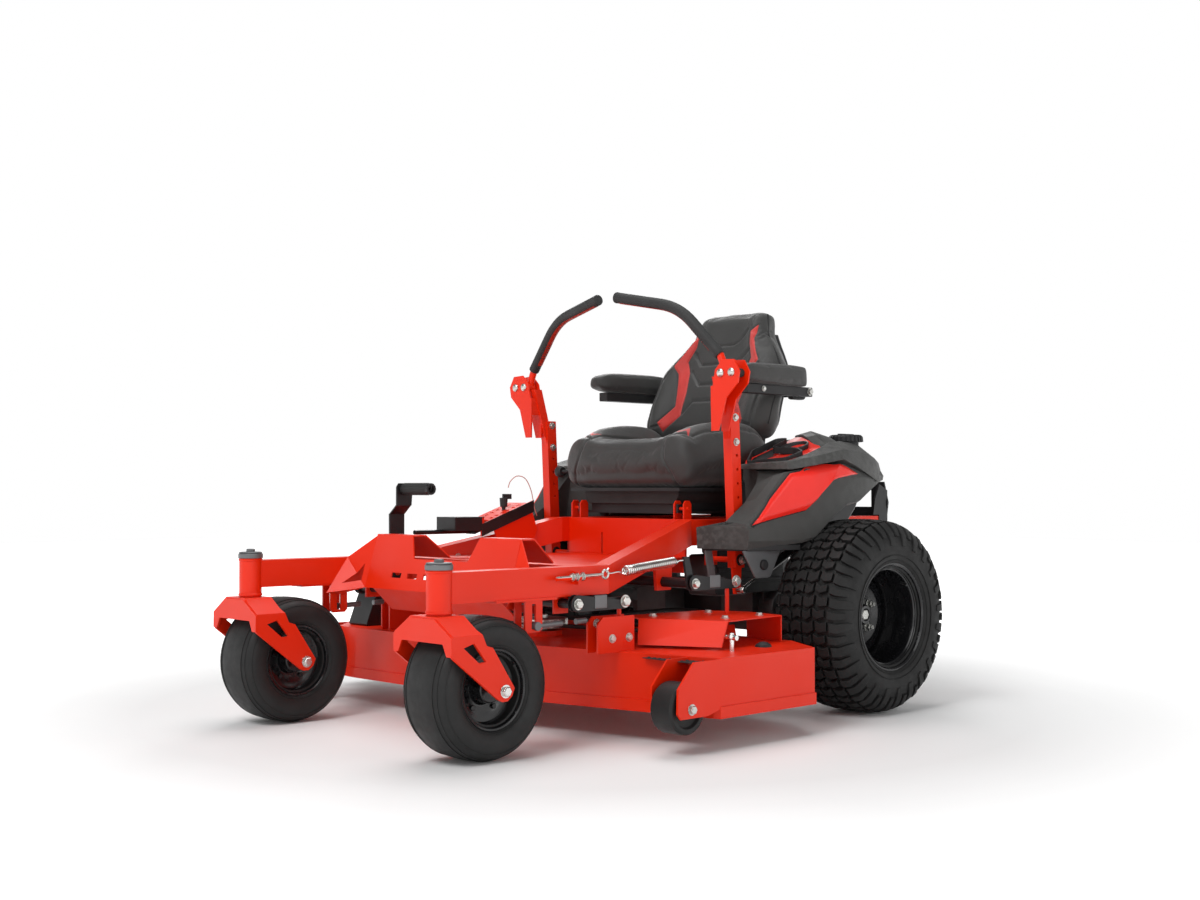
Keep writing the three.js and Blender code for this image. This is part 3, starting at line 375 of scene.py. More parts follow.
def caster_wheel(side, q):
    centre = (q * 0.4206, 0.1104, 0.172)
    body = f"caster_wheel_{side}"
    half = [(0.0835, 0.0605), (0.0945, 0.0625), (0.0985, 0.0710), (0.1080, 0.0780), (0.1240, 0.0825),
            (0.1440, 0.0815), (0.1590, 0.0720), (0.1680, 0.0540), (0.1715, 0.0280), (0.1720, 0.0)]
    tyre = Shape().turned(both_ways(half), centre, "x", 112)
    piece(f"front_tyre_{side}", tyre, "smooth_tyre", body, bevel=0, angle=50,
          stands_for=[f"caster_tyre_{side}"])
    ribs = Shape()
    for r, x in ((0.1035, 0.0758), (0.1508, 0.0777), (0.1645, 0.0625), (0.1690, 0.0500)):
        for s in (1, -1):
            loop = circle(Vector(centre) + Vector((s * x, 0, 0)), Vector((0, 1, 0)), Vector((0, 0, 1)), r, 112)
            ribs.pipe([*loop, loop[0]], 0.0011, 6)
    piece(f"front_tyre_ribs_{side}", ribs, "smooth_tyre", body, bevel=0)
    rim = Shape()
    for s in (1, -1):
        dish = [(0.0955, 0.0615), (0.0985, 0.0665), (0.0965, 0.0705), (0.0915, 0.0690), (0.0875, 0.0600),
                (0.0860, 0.0400), (0.0790, 0.0330), (0.0610, 0.0300), (0.0480, 0.0235), (0.0400, 0.0235),
                (0.0350, 0.0300), (0.0330, 0.0560), (0.0300, 0.0590), (0.0095, 0.0590), (0.0095, 0.0100),
                (0.0800, 0.0100), (0.0840, 0.0300)]
        rim.turned([(r, s * x) for r, x in dish], centre, "x", 80)
    for k in range(5):
        t = 2 * math.pi * k / 5 + 0.3
        at = Vector(centre) + Vector((0, math.cos(t) * 0.055, math.sin(t) * 0.055))
        for s in (1, -1):
            rim.bolt(at + Vector((s * 0.0265, 0, 0)), (s, 0, 0), 0.0065, 0.006, washer=False)
    piece(f"front_rim_{side}", rim, "rim", body, bevel=0.0006, stands_for=[f"caster_rim_{side}"])
    stem = Shape().pipe(spline([(centre[0] + 0.0640, 0.1104 + 0.062, 0.172 + 0.058),
                                (centre[0] + 0.0700, 0.1104 + 0.060, 0.172 + 0.056),
                                (centre[0] + 0.0770, 0.1104 + 0.056, 0.172 + 0.052)]), 0.0036, 10)
    piece(f"front_valve_{side}", stem, "dark_plastic", body, bevel=0)


def tyre_line(half):
    """The outer (x, radius) line of a tyre from its crown, with the length along it."""
    line = [Vector((x, r)) for r, x in half]
    reach = [0.0]
    for a, b in zip(line, line[1:]):
        reach.append(reach[-1] + (b - a).length)
    return line, reach


def on_line(line, reach, s):
    s = min(max(s, 0.0), reach[-1] - 1e-5)
    i = max(k for k in range(len(reach) - 1) if reach[k] <= s)
    along = (line[i + 1] - line[i]).normalized()
    spot = line[i] + along * (s - reach[i])
    return spot, Vector((-along.y, along.x))


def rear_wheel(side, q):
    centre = Vector((q * 0.583, 1.419, 0.279))
    body = f"rear_wheel_{side}"
    half = [(0.1390, 0.1020), (0.1500, 0.1060), (0.1570, 0.1150), (0.1700, 0.1215), (0.1950, 0.1235),
            (0.2180, 0.1210), (0.2380, 0.1125), (0.2540, 0.0965), (0.2625, 0.0745), (0.2655, 0.0410),
            (0.2660, 0.0)]
    section = both_ways(half)
    piece(f"back_tyre_{side}", Shape().turned(section, centre, "x", 120), "tyre", body, bevel=0, angle=50,
          stands_for=[f"rear_tyre_{side}"])
    outer = [p for p in section if p[1] >= 0 and p[0] > 0.155][::-1]
    line, reach = tyre_line(outer)
    pitches, turn = 24, 2 * math.pi / 24
    # Rows of a block: distance from the crown, start and end as shares of a pitch
    blocks = [
        [(0.003, 0.02, 0.44), (0.020, 0.10, 0.52), (0.038, -0.04, 0.38)],
        [(0.003, 0.58, 0.92), (0.016, 0.64, 0.98), (0.030, 0.50, 0.86)],
        [(0.037, 0.46, 0.80), (0.052, 0.60, 0.94), (0.072, 0.52, 0.84)],
        [(0.046, -0.04, 0.36), (0.060, 0.06, 0.46), (0.078, 0.00, 0.40)],
        [(0.085, 0.02, 0.46), (0.104, 0.08, 0.52), (0.124, 0.04, 0.48), (0.140, 0.06, 0.46), (0.156, 0.10, 0.44)],
        [(0.080, 0.56, 0.92), (0.098, 0.62, 0.98), (0.116, 0.60, 0.94), (0.130, 0.62, 0.92)],
    ]
    tread = Shape()
    for k in range(pitches):
        for s in (1, -1):
            shift = 0.0 if s > 0 else 0.5
            for rows in blocks:
                rings = []
                for reach_at, start, end in rows:
                    spot, out = on_line(line, reach, reach_at)
                    out = out if out.dot(spot - Vector((0.0, 0.20))) > 0 else -out
                    high = 0.0122 if reach_at < 0.10 else 0.0100 - (reach_at - 0.10) * 0.12
                    trim = 0.025
                    ring = []
                    for share, level in ((start, -0.004), (start + trim, high), (end - trim, high), (end, -0.004)):
                        p = spot + out * level
                        t = (k + shift + share) * turn * s
                        ring.append(centre + Vector((s * p.x, math.cos(t) * p.y, math.sin(t) * p.y)))
                    rings.append(ring)
                tread.rings(rings)
    piece(f"back_tread_{side}", tread, "tyre", body, bevel=0.0014, angle=40)
    ribs = Shape()
    for r, x in ((0.1620, 0.1180), (0.1760, 0.1232)):
        for s in (1, -1):
            loop = circle(centre + Vector((s * x, 0, 0)), Vector((0, 1, 0)), Vector((0, 0, 1)), r, 120)
            ribs.pipe([*loop, loop[0]], 0.0014, 6)
    piece(f"back_tyre_ribs_{side}", ribs, "tyre", body, bevel=0)
    rim = Shape()
    for s in (1, -1):
        rim.turned([(r, s * x) for r, x in (
            (0.1480, 0.1030), (0.1540, 0.1070), (0.1545, 0.1120), (0.1500, 0.1130), (0.1455, 0.1090),
            (0.1430, 0.0960), (0.1330, 0.0900), (0.1290, 0.0780), (0.1270, 0.0300), (0.1270, 0.0),
            (0.1310, 0.0), (0.1310, 0.0300), (0.1370, 0.0950))], centre, "x", 96)
    web = [(0.1275, -0.020), (0.1190, -0.012), (0.1050, -0.010), (0.0860, -0.002), (0.0700, -0.006),
           (0.0520, -0.010), (0.0300, -0.010), (0.0300, -0.016), (0.0520, -0.016), (0.0860, -0.009),
           (0.1050, -0.017), (0.1275, -0.027)]
    rim.turned([(r, q * x) for r, x in web], centre, "x", 96)
    hub = [(0.0180, -0.070), (0.0400, -0.070), (0.0430, -0.018), (0.0330, -0.010), (0.0300, 0.012),
           (0.0260, 0.018), (0.0180, 0.018)]
    rim.turned([(r, q * x) for r, x in hub], centre, "x", 64)
    piece(f"back_rim_{side}", rim, "rim", body, bevel=0.0008, stands_for=[f"rear_rim_{side}"])
    nuts = Shape()
    for k in range(5):
        t = 2 * math.pi * k / 5 + 0.5
        at = centre + Vector((q * -0.0085, math.cos(t) * 0.058, math.sin(t) * 0.058))
        nuts.rod(at, at + Vector((q * 0.020, 0, 0)), 0.0062, 16)
        nuts.bolt(at, (q, 0, 0), 0.0098, 0.011)
    nuts.bolt(centre + Vector((q * 0.004, 0, 0)), (q, 0, 0), 0.0150, 0.012)
    piece(f"back_wheel_nuts_{side}", nuts, "zinc", body, bevel=0.0005)
    stem = Shape().pipe([centre + Vector((q * 0.080, 0.085, 0.093)), centre + Vector((q * 0.094, 0.082, 0.090)),
                         centre + Vector((q * 0.106, 0.079, 0.087))], 0.0042, 10)
    piece(f"back_valve_{side}", stem, "dark_plastic", body, bevel=0)


for side, q in SIDES:
    caster_wheel(side, q)
    rear_wheel(side, q)

for side, q in SIDES:
    cap = Shape()
    spot = Vector((q * 0.4206, 0, 0.4676))
    cap.turned([(0.0, 0.0), (0.030, 0.0), (0.0315, 0.003), (0.0300, 0.0045), (0.0, 0.0045)][1:4]
               + [(0.0005, 0.0055), (0.0005, 0.0)], spot, "z", 40)
    cap.bolt(spot + Vector((0, 0, 0.0045)), (0, 0, 1), 0.0105, 0.0085, washer=False)
    cap.turned([(0.0335, -0.0125), (0.0335, -0.0015), (0.0325, 0.0), (0.0180, 0.0), (0.0180, -0.0125)],
               spot, "z", 48)
    piece(f"spindle_cap_{side}", cap, "grey_steel", f"caster_{side}", bevel=0.0006)
    axle = Shape()
    for s in (1, -1):
        at = Vector((q * 0.4206 + s * 0.1112, 0.1104, 0.172))
        axle.bolt(at, (s, 0, 0), 0.0110, 0.0090)
        axle.rod(at, at + Vector((s * 0.0105, 0, 0)), 0.0055, 16)
    piece(f"caster_axle_bolt_{side}", axle, "steel", f"caster_{side}", bevel=0.0005)
    tube = Shape()
    tube.turned([(0.0304, 0.352), (0.0304, 0.4545), (0.0285, 0.4552), (0.0240, 0.4552), (0.0240, 0.352)],
                (q * 0.4206, 0, 0), "z", 64)
    for z in (0.3555, 0.4505):
        tube.turned([(0.0300, -0.004), (0.0322, -0.002), (0.0322, 0.002), (0.0300, 0.004)],
                    (q * 0.4206, 0, z), "z", 64)
    piece(f"spindle_tube_{side}", tube, "paint", "chassis", bevel=0)


# ---------------------------------------------------------------- lap bars
def band_pipe(line, radius, depth, facing, spread, sides=10):
    """A strip bent round one side of a pipe: the side nearest to the facing direction."""
    line = [Vector(p) for p in line]
    rings = []
    for i, p in enumerate(line):
        along = (line[min(len(line) - 1, i + 1)] - line[max(0, i - 1)]).normalized()
        u = (Vector(facing) - along * Vector(facing).dot(along)).normalized()
        v = along.cross(u)
        turns = [spread * (2 * k / (sides - 1) - 1) for k in range(sides)]
        outer = [p + (u * math.cos(t) + v * math.sin(t)) * radius for t in turns]
        inner = [p + (u * math.cos(t) + v * math.sin(t)) * (radius - depth) for t in reversed(turns)]
        rings.append(outer + inner)
    return Shape().rings(rings)


for side, q in SIDES:
    top = f"lap_bar_top_{side}"
    grip = [(0.3996, 1.0144, 1.0230), (0.2622, 0.9903, 1.1695), (0.0368, 0.9549, 1.2138)]
    line = softened(grip, 0.065, 8)
    start, end = Vector(grip[0]), Vector(grip[2])
    along = (Vector(grip[1]) - start).normalized()
    shape = Shape()
    u, v = basis(along)
    rings = [circle(start + along * d, u, v, r, 24) for d, r in ((0.0, 0.0125), (0.0015, 0.0160), (0.004, 0.0165))]
    shape.rings([*rings, circle(start + along * 0.016, u, v, 0.0165, 24)])
    shape.pipe([start + along * 0.010, *line[1:-1], end + (line[-2] - end).normalized() * 0.004], 0.0163, 28)
    tip = (end - line[-2]).normalized()
    u, v = basis(tip)
    shape.rings([circle(end + tip * d, u, v, r, 28) for d, r in
                 ((-0.012, 0.0163), (-0.004, 0.0168), (-0.001, 0.0158), (0.0, 0.0120))])
    piece(f"lever_sleeve_{side}", shape, "rubber", top, side=q, bevel=0, angle=40,
          stands_for=[f"lever_grip_{side}"])
    total = len(line)
    strip = [start + along * 0.034, *line[1:total - 1], end + (line[-2] - end).normalized() * 0.020]
    red = band_pipe(strip, 0.0171, 0.004, (-0.35, 0.10, -0.9), 0.62)
    piece(f"lever_inlay_{side}", red, "grip_red", top, side=q, bevel=0, angle=40)
    ribs = Shape()
    for k in range(7):
        at = start.lerp(Vector(grip[1]), 0.32 + k * 0.045)
        u, v = basis(along)
        arc = [at + (u * math.cos(t) + v * math.sin(t)) * 0.0164 for t in
               (math.pi * (0.15 + 0.7 * i / 10) for i in range(11))]
        ribs.pipe(arc, 0.0012, 6)
    piece(f"lever_ribs_{side}", ribs, "rubber", top, side=q, bevel=0)
    arm = Shape().pipe(softened([(0.419, 1.0144, 0.972), (0.4105, 1.0148, 0.999), (0.3975, 1.0143, 1.0256)],
                                0.012), 0.0112, 20)
    arm.rod((0.421, 1.0005, 0.970), (0.421, 1.0275, 0.970), 0.0152, 32)
    piece(f"lever_root_{side}", arm, "paint", top, side=q, bevel=0.001, angle=40,
          stands_for=[f"lever_arm_{side}"])
    post = f"lap_bar_{side}"
    bolts = Shape()
    for x, z in ((0.421, 0.970), (0.461, 0.970)):
        for y, d in ((0.990, -1), (1.038, 1)):
            at = Vector((x, y, z))
            bolts.turned([(0.0001, 0.0), (0.0125, 0.0), (0.0118, d * 0.003), (0.0085, d * 0.0058),
                          (0.0040, d * 0.0074), (0.0001, d * 0.0076)], at, "y", 28)
    for z in (0.778, 0.848):
        y = 1.090 - (z - 0.442) * 0.052 + 0.001
        for s in (1, -1):
            bolts.bolt((0.390 + s * 0.0152, y, z), (s, 0, 0), 0.0078, 0.006)
    piece(f"lever_bolts_{side}", bolts, "zinc", post, side=q, bevel=0.0004)
    stop = Shape().rod((0.461, 0.9955, 0.970), (0.461, 1.0325, 0.970), 0.0125, 28)
    piece(f"lever_stop_{side}", stop, "rubber", post, side=q, bevel=0.001)
    boss = Shape().rod((0.3735, 1.090, 0.442), (0.4065, 1.090, 0.442), 0.0165, 32)
    piece(f"lever_boss_{side}", boss, "black", post, side=q, bevel=0.001)
    end_bolt = Shape().bolt((0.412, 1.090, 0.442), (1, 0, 0), 0.009, 0.007)
    piece(f"lever_pivot_bolt_{side}", end_bolt, "zinc", "chassis", side=q, bevel=0.0004)
    front, rear = Vector((0.404, 1.092, 0.357)), Vector((0.404, 1.376, 0.487))
    run = (rear - front).normalized()
    barrel = Shape().rod(front + run * 0.128, front + run * 0.296, 0.0125, 28)
    barrel.rings([circle(front + run * d, *basis(run), r, 28) for d, r in
                  ((0.122, 0.0075), (0.1255, 0.0115), (0.129, 0.0125))])
    barrel.rod((0.3995, 1.364, 0.483), (0.4125, 1.364, 0.483), 0.012, 24)
    barrel.plate("x", rounded([(1.330, 0.470), (1.392, 0.470), (1.392, 0.500), (1.330, 0.500)], 0.008),
                 0.3004, 0.314)
    barrel.rod((0.312, 1.364, 0.483), (0.412, 1.364, 0.483), 0.0085, 20)
    piece(f"damper_barrel_{side}", barrel, "black", "chassis", side=q, bevel=0.0006,
          stands_for=[f"damper_tube_{side}"])
    stem = Shape().rod(front + run * 0.008, front + run * 0.190, 0.0046, 20)
    stem.rod((0.396, 1.092, 0.357), (0.412, 1.092, 0.357), 0.0105, 28)
    stem.bolt((0.412, 1.092, 0.357), (1, 0, 0), 0.0085, 0.006)
    piece(f"damper_stem_{side}", stem, "steel", f"damper_piston_{side}", side=q, bevel=0.0005,
          stands_for=[f"damper_rod_{side}"])


# ---------------------------------------------------------------- fenders
# The fender is drawn on a first outline, then every point slides along the line from the eye of the camera
# to a narrower one, so that its picture stays and its place moves in. For each station along y: the inner
# and outer face of the first outline, and of the narrow one.
EYE = (3.2287, -2.1691, 0.6456)
STATION_Y = (0.84, 0.93, 1.01, 1.16, 1.20, 1.29, 1.37, 1.45, 1.54, 1.62, 1.69)
FIRST_INNER = (0.463, 0.44, 0.416, 0.409, 0.316, 0.310, 0.310, 0.310, 0.310, 0.310, 0.312)
NARROW_INNER = (0.338, 0.372, 0.414, 0.411, 0.280, 0.272, 0.272, 0.272, 0.272, 0.272, 0.275)
FIRST_OUTER = (0.64, 0.642, 0.643, 0.641, 0.640, 0.632, 0.62, 0.608, 0.566, 0.524, 0.458)
NARROW_OUTER = (0.49, 0.495, 0.51, 0.545, 0.549, 0.541, 0.53, 0.518, 0.483, 0.443, 0.396)


def inboard(point, rim=False):
    """A point of the first outline, slid along its line of sight to the narrow one."""
    x, y, z = point
    first_in, narrow_in, first_out, narrow_out = (
        float(np.interp(y, STATION_Y, row)) for row in (FIRST_INNER, NARROW_INNER, FIRST_OUTER, NARROW_OUTER))
    if rim and y < 1.30:
        first_in, narrow_in = 0.400, 0.330
        if y > 1.16:
            share = (1.30 - y) / 0.14
            first_in, narrow_in = 0.316 + share * 0.084, 0.272 + share * 0.058
    goal = narrow_in + (x - first_in) * (narrow_out - narrow_in) / (first_out - first_in)
    if rim or y > 1.165:
        goal = max(goal, 0.272)
    share = (EYE[0] - goal) / (EYE[0] - x)
    return tuple(round(e + (p - e) * share, digits)
                 for e, p, digits in zip(EYE, (x, y, z), (3, 3, 4)))


def fender(side, q):
    wall = Shape()
    # Rings from the front to the rear: inner foot, inner top, five points over the side, outer foot
    rings = [
        [(0.462, 0.846, 0.482), (0.463, 0.842, 0.541), (0.520, 0.8425, 0.5455), (0.626, 0.8470, 0.5455),
         (0.634, 0.8500, 0.5440), (0.6400, 0.8545, 0.5390), (0.6405, 0.8520, 0.5060), (0.6250, 0.8600, 0.4830)],
        [(0.416, 1.010, 0.490), (0.416, 1.012, 0.5515), (0.520, 0.930, 0.5520), (0.621, 0.868, 0.5500),
         (0.629, 0.870, 0.5495), (0.6420, 0.876, 0.5430), (0.6430, 0.876, 0.5060), (0.6270, 0.888, 0.4860)],
        [(0.412, 1.080, 0.500), (0.413, 1.100, 0.6050), (0.520, 1.022, 0.6160), (0.616, 0.950, 0.6160),
         (0.624, 0.956, 0.6160), (0.6420, 0.960, 0.5600), (0.6430, 0.985, 0.5060), (0.6270, 0.990, 0.4900)],
        [(0.411, 1.120, 0.520), (0.412, 1.152, 0.6600), (0.520, 1.102, 0.6820), (0.612, 1.036, 0.6900),
         (0.620, 1.042, 0.6900), (0.6410, 1.060, 0.5790), (0.6430, 1.090, 0.5080), (0.6280, 1.090, 0.4960)],
        [(0.409, 1.162, 0.540), (0.409, 1.166, 0.6950), (0.520, 1.150, 0.7000), (0.614, 1.130, 0.7020),
         (0.622, 1.132, 0.7000), (0.6400, 1.130, 0.6130), (0.6420, 1.137, 0.5130), (0.6290, 1.137, 0.5040)],
        [(0.316, 1.200, 0.562), (0.316, 1.206, 0.7180), (0.500, 1.215, 0.7100), (0.614, 1.220, 0.7120),
         (0.622, 1.221, 0.7100), (0.6370, 1.215, 0.6600), (0.6400, 1.214, 0.5640), (0.6280, 1.214, 0.5560)],
        [(0.310, 1.290, 0.562), (0.310, 1.290, 0.7400), (0.500, 1.290, 0.7200), (0.612, 1.290, 0.7200),
         (0.620, 1.290, 0.7150), (0.6320, 1.300, 0.6740), (0.6350, 1.290, 0.6040), (0.6220, 1.290, 0.5960)],
        [(0.310, 1.385, 0.562), (0.310, 1.380, 0.7900), (0.480, 1.375, 0.7450), (0.604, 1.365, 0.7050),
         (0.612, 1.370, 0.6980), (0.6200, 1.385, 0.6780), (0.6220, 1.367, 0.6120), (0.6100, 1.367, 0.6050)],
        [(0.310, 1.450, 0.562), (0.310, 1.450, 0.7980), (0.460, 1.450, 0.7600), (0.592, 1.450, 0.6960),
         (0.599, 1.450, 0.6900), (0.6080, 1.448, 0.6720), (0.6100, 1.436, 0.6430), (0.5980, 1.436, 0.6360)],
        [(0.310, 1.540, 0.562), (0.310, 1.540, 0.7880), (0.440, 1.540, 0.7560), (0.545, 1.540, 0.7080),
         (0.552, 1.540, 0.7010), (0.5640, 1.540, 0.6820), (0.5660, 1.530, 0.6650), (0.5560, 1.530, 0.6600)],
        [(0.310, 1.620, 0.562), (0.310, 1.620, 0.7740), (0.420, 1.620, 0.7450), (0.505, 1.620, 0.7050),
         (0.511, 1.620, 0.6990), (0.5220, 1.620, 0.6840), (0.5240, 1.612, 0.6720), (0.5150, 1.612, 0.6670)],
        [(0.312, 1.695, 0.564), (0.312, 1.695, 0.7180), (0.380, 1.695, 0.7080), (0.446, 1.695, 0.6900),
         (0.450, 1.695, 0.6860), (0.4560, 1.695, 0.6780), (0.4580, 1.690, 0.6680), (0.4520, 1.690, 0.6640)],
    ]
    rings = [[inboard(p) for p in row] for row in rings]
    wall.rings(rings)
    piece(f"fender_wall_{side}", wall, "plastic", "chassis", side=q, bevel=0.004, angle=16,
          stands_for=[f"fender_{side}"])
    # Overhanging rim round the console
    rim = [
        [(0.412, 1.076, 0.700), (0.412, 1.072, 0.7135), (0.400, 1.150, 0.7160), (0.400, 1.150, 0.7000)],
        [(0.520, 1.048, 0.6985), (0.520, 1.044, 0.7180), (0.500, 1.130, 0.7200), (0.500, 1.130, 0.7000)],
        [(0.636, 1.022, 0.6970), (0.636, 1.018, 0.7195), (0.560, 1.108, 0.7240), (0.560, 1.108, 0.7000)],
        [(0.645, 1.030, 0.6970), (0.643, 1.030, 0.7210), (0.564, 1.120, 0.7260), (0.564, 1.120, 0.7000)],
        [(0.645, 1.140, 0.7110), (0.641, 1.140, 0.7360), (0.572, 1.180, 0.7430), (0.572, 1.180, 0.7050)],
        [(0.642, 1.266, 0.7280), (0.634, 1.275, 0.7560), (0.566, 1.270, 0.7700), (0.566, 1.270, 0.7100)],
        [(0.632, 1.340, 0.7080), (0.616, 1.330, 0.7540), (0.545, 1.320, 0.7800), (0.545, 1.320, 0.7100)],
        [(0.620, 1.410, 0.6860), (0.596, 1.405, 0.7520), (0.520, 1.400, 0.7860), (0.520, 1.400, 0.7100)],
        [(0.604, 1.480, 0.6640), (0.570, 1.482, 0.7440), (0.490, 1.490, 0.7840), (0.490, 1.490, 0.7100)],
        [(0.570, 1.536, 0.6660), (0.545, 1.545, 0.7350), (0.470, 1.560, 0.7780), (0.470, 1.560, 0.7100)],
        [(0.520, 1.620, 0.6700), (0.500, 1.625, 0.7240), (0.440, 1.640, 0.7600), (0.440, 1.640, 0.7000)],
        [(0.458, 1.692, 0.6720), (0.448, 1.692, 0.7040), (0.400, 1.692, 0.7260), (0.400, 1.692, 0.6900)],
    ]
    rim = [[inboard(p, rim=True) for p in row] for row in rim]
    piece(f"fender_rim_{side}", Shape().rings(rim), "plastic", "chassis", side=q, bevel=0.003, angle=18)
    # Ridge behind the console, with its hollow in front of the cap
    ridge = [
        [(0.312, 1.470, 0.700), (0.312, 1.452, 0.8080), (0.335, 1.462, 0.8130), (0.345, 1.500, 0.8060),
         (0.345, 1.500, 0.700)],
        [(0.400, 1.400, 0.700), (0.395, 1.382, 0.8090), (0.415, 1.402, 0.8180), (0.420, 1.452, 0.8060),
         (0.420, 1.452, 0.700)],
        [(0.455, 1.352, 0.700), (0.450, 1.338, 0.7960), (0.470, 1.356, 0.8040), (0.485, 1.410, 0.7960),
         (0.485, 1.410, 0.700)],
        [(0.512, 1.312, 0.700), (0.508, 1.306, 0.7650), (0.540, 1.318, 0.7700), (0.560, 1.370, 0.7700),
         (0.560, 1.370, 0.700)],
    ]
    ridge = [[inboard(p, rim=True) for p in row] for row in ridge]
    piece(f"fender_ridge_{side}", Shape().rings(ridge), "plastic", "chassis", side=q, bevel=0.0035, angle=18)
    deck = [
        [(0.316, 1.470, 0.782), (0.316, 1.690, 0.722), (0.316, 1.690, 0.700), (0.316, 1.470, 0.700)],
        [(0.400, 1.430, 0.792), (0.400, 1.690, 0.728), (0.400, 1.690, 0.700), (0.400, 1.430, 0.700)],
        [(0.470, 1.400, 0.786), (0.440, 1.640, 0.756), (0.440, 1.640, 0.700), (0.470, 1.400, 0.700)],
        [(0.520, 1.370, 0.776), (0.470, 1.560, 0.772), (0.470, 1.560, 0.700), (0.520, 1.370, 0.700)],
    ]
    deck = [[inboard(p, rim=True) for p in row] for row in deck]
    piece(f"fender_shoulder_{side}", Shape().rings(deck), "dark_plastic", "chassis", side=q, bevel=0.003, angle=18)
    # Red console skin, sunk a little inside the rim
    skin = [
        [(0.3985, 1.120, 0.7190), (0.320, 1.215, 0.7330), (0.316, 1.330, 0.7670), (0.316, 1.465, 0.8100)],
        [(0.4600, 1.095, 0.7200), (0.400, 1.195, 0.7340), (0.395, 1.300, 0.7650), (0.400, 1.392, 0.8060)],
        [(0.5200, 1.100, 0.7225), (0.490, 1.185, 0.7370), (0.480, 1.270, 0.7620), (0.460, 1.345, 0.7960)],
        [(0.5640, 1.118, 0.7260), (0.572, 1.180, 0.7420), (0.566, 1.262, 0.7650), (0.520, 1.312, 0.7700)],
    ]
    skin = [[inboard(p, rim=True) for p in row] for row in skin]
    drop = Vector((0, 0, 0.020 if q < 0 else 0.004))
    top = [[Vector(p) - (drop if 0 < i < 3 else drop * 0.6) for i, p in enumerate(row)] for row in skin]
    console = Shape()
    for a, b in zip(top, top[1:]):
        for i in range(3):
            corners = [a[i], b[i], b[i + 1], a[i + 1]]
            console.rings([[c - Vector((0, 0, 0.004)) for c in corners], corners])
    piece(f"console_skin_{side}", console, "console", "chassis", side=q, bevel=0.0006, angle=25)
    # Red side panel laid on the wall
    red = [(0.6455, 0.866, 0.5500), (0.6320, 1.036, 0.6870), (0.6330, 1.262, 0.7170), (0.6290, 1.345, 0.6880),
           (0.6370, 1.221, 0.6720), (0.6450, 1.084, 0.5870)]
    red = [inboard(p) for p in red]
    tree = BVHTree.FromPolygons(wall.points, [tuple(face) for face in wall.faces])
    sheet = piece(f"side_panel_{side}", laid(red, tree, 0.0075), "panel", "chassis", side=q, bevel=0)
    thick = sheet.modifiers.new("thick", "SOLIDIFY")
    thick.thickness, thick.offset = 0.010, -1
    groove = Shape()
    corners = [Vector(p) for p in red]
    edge = [p.lerp(after, k / 12) for p, after in zip(corners, [*corners[1:], corners[0]]) for k in range(12)]
    groove.pipe([tree.find_nearest(p)[0] for p in [*edge, edge[0]]], 0.0030, 6)
    piece(f"side_panel_groove_{side}", groove, "dark_plastic", "chassis", side=q, bevel=0)
    # Lip below the front edge and the brackets that hang from it
    lip = Shape().plate("z", [(0.352, 0.990), (0.478, 1.036), (0.518, 1.222), (0.498, 1.240), (0.418, 1.120),
                              (0.415, 1.046)], 0.470, 0.486)
    piece(f"fender_foot_{side}", lip, "dark_plastic", "chassis", side=q, bevel=0.002)
    bracket = Shape().plate("x", rounded([(1.022, 0.472), (1.188, 0.472), (1.141, 0.393), (1.078, 0.393)], 0.010),
                            0.468, 0.474)
    bracket.plate("x", rounded([(0.990, 0.472), (1.020, 0.472), (1.040, 0.370), (1.014, 0.362)], 0.006),
                  0.356, 0.361)
    piece(f"fender_bracket_{side}", bracket, "grey_steel", "chassis", side=q, bevel=0.001)
    plug = Shape().turned([(0.0005, 0.0), (0.015, 0.0), (0.015, 0.006), (0.012, 0.009), (0.0005, 0.009)],
                          (0.474, 1.110, 0.430), "x", 32)
    piece(f"fender_plug_{side}", plug, "dark_plastic", "chassis", side=q, bevel=0.0006)


def laid(corners, tree, lift, cuts=5):
    """A thin patch with the given corners, draped over the wall that the tree holds."""
    work = bmesh.new()
    work.faces.new([work.verts.new(c) for c in corners])
    bmesh.ops.triangulate(work, faces=work.faces)
    bmesh.ops.subdivide_edges(work, edges=work.edges, cuts=cuts, use_grid_fill=True)
    patch = Shape()
    for corner in work.verts:
        spot, normal = tree.find_nearest(corner.co)[:2]
        corner.co = spot + (normal if normal.x > 0 else -normal) * lift
    work.verts.index_update()
    patch.put([v.co.copy() for v in work.verts], [[v.index for v in face.verts] for face in work.faces])
    work.free()
    return patch


for side, q in SIDES:
    fender(side, q)


def console_at(x, y):
    """Height of the sloping console."""
    return 0.752 + (y - 1.274) * 0.36 - (abs(x) - 0.291) * 0.058


# Left: open tray and cup ring; right: control plate with its slot and switches
tray = Shape()
outline = rounded([(0.291, 1.274), (0.347, 1.186), (0.460, 1.228), (0.476, 1.292), (0.430, 1.314), (0.340, 1.309),
                   (0.340, 1.388), (0.302, 1.379)], 0.012)
middle = Vector((0.375, 1.265))
inner = [middle + (p - middle) * 0.93 for p in outline]


def tray_ring(points, lift):
    return [(p.x, p.y, console_at(p.x, p.y) + 0.002 + lift) for p in points]


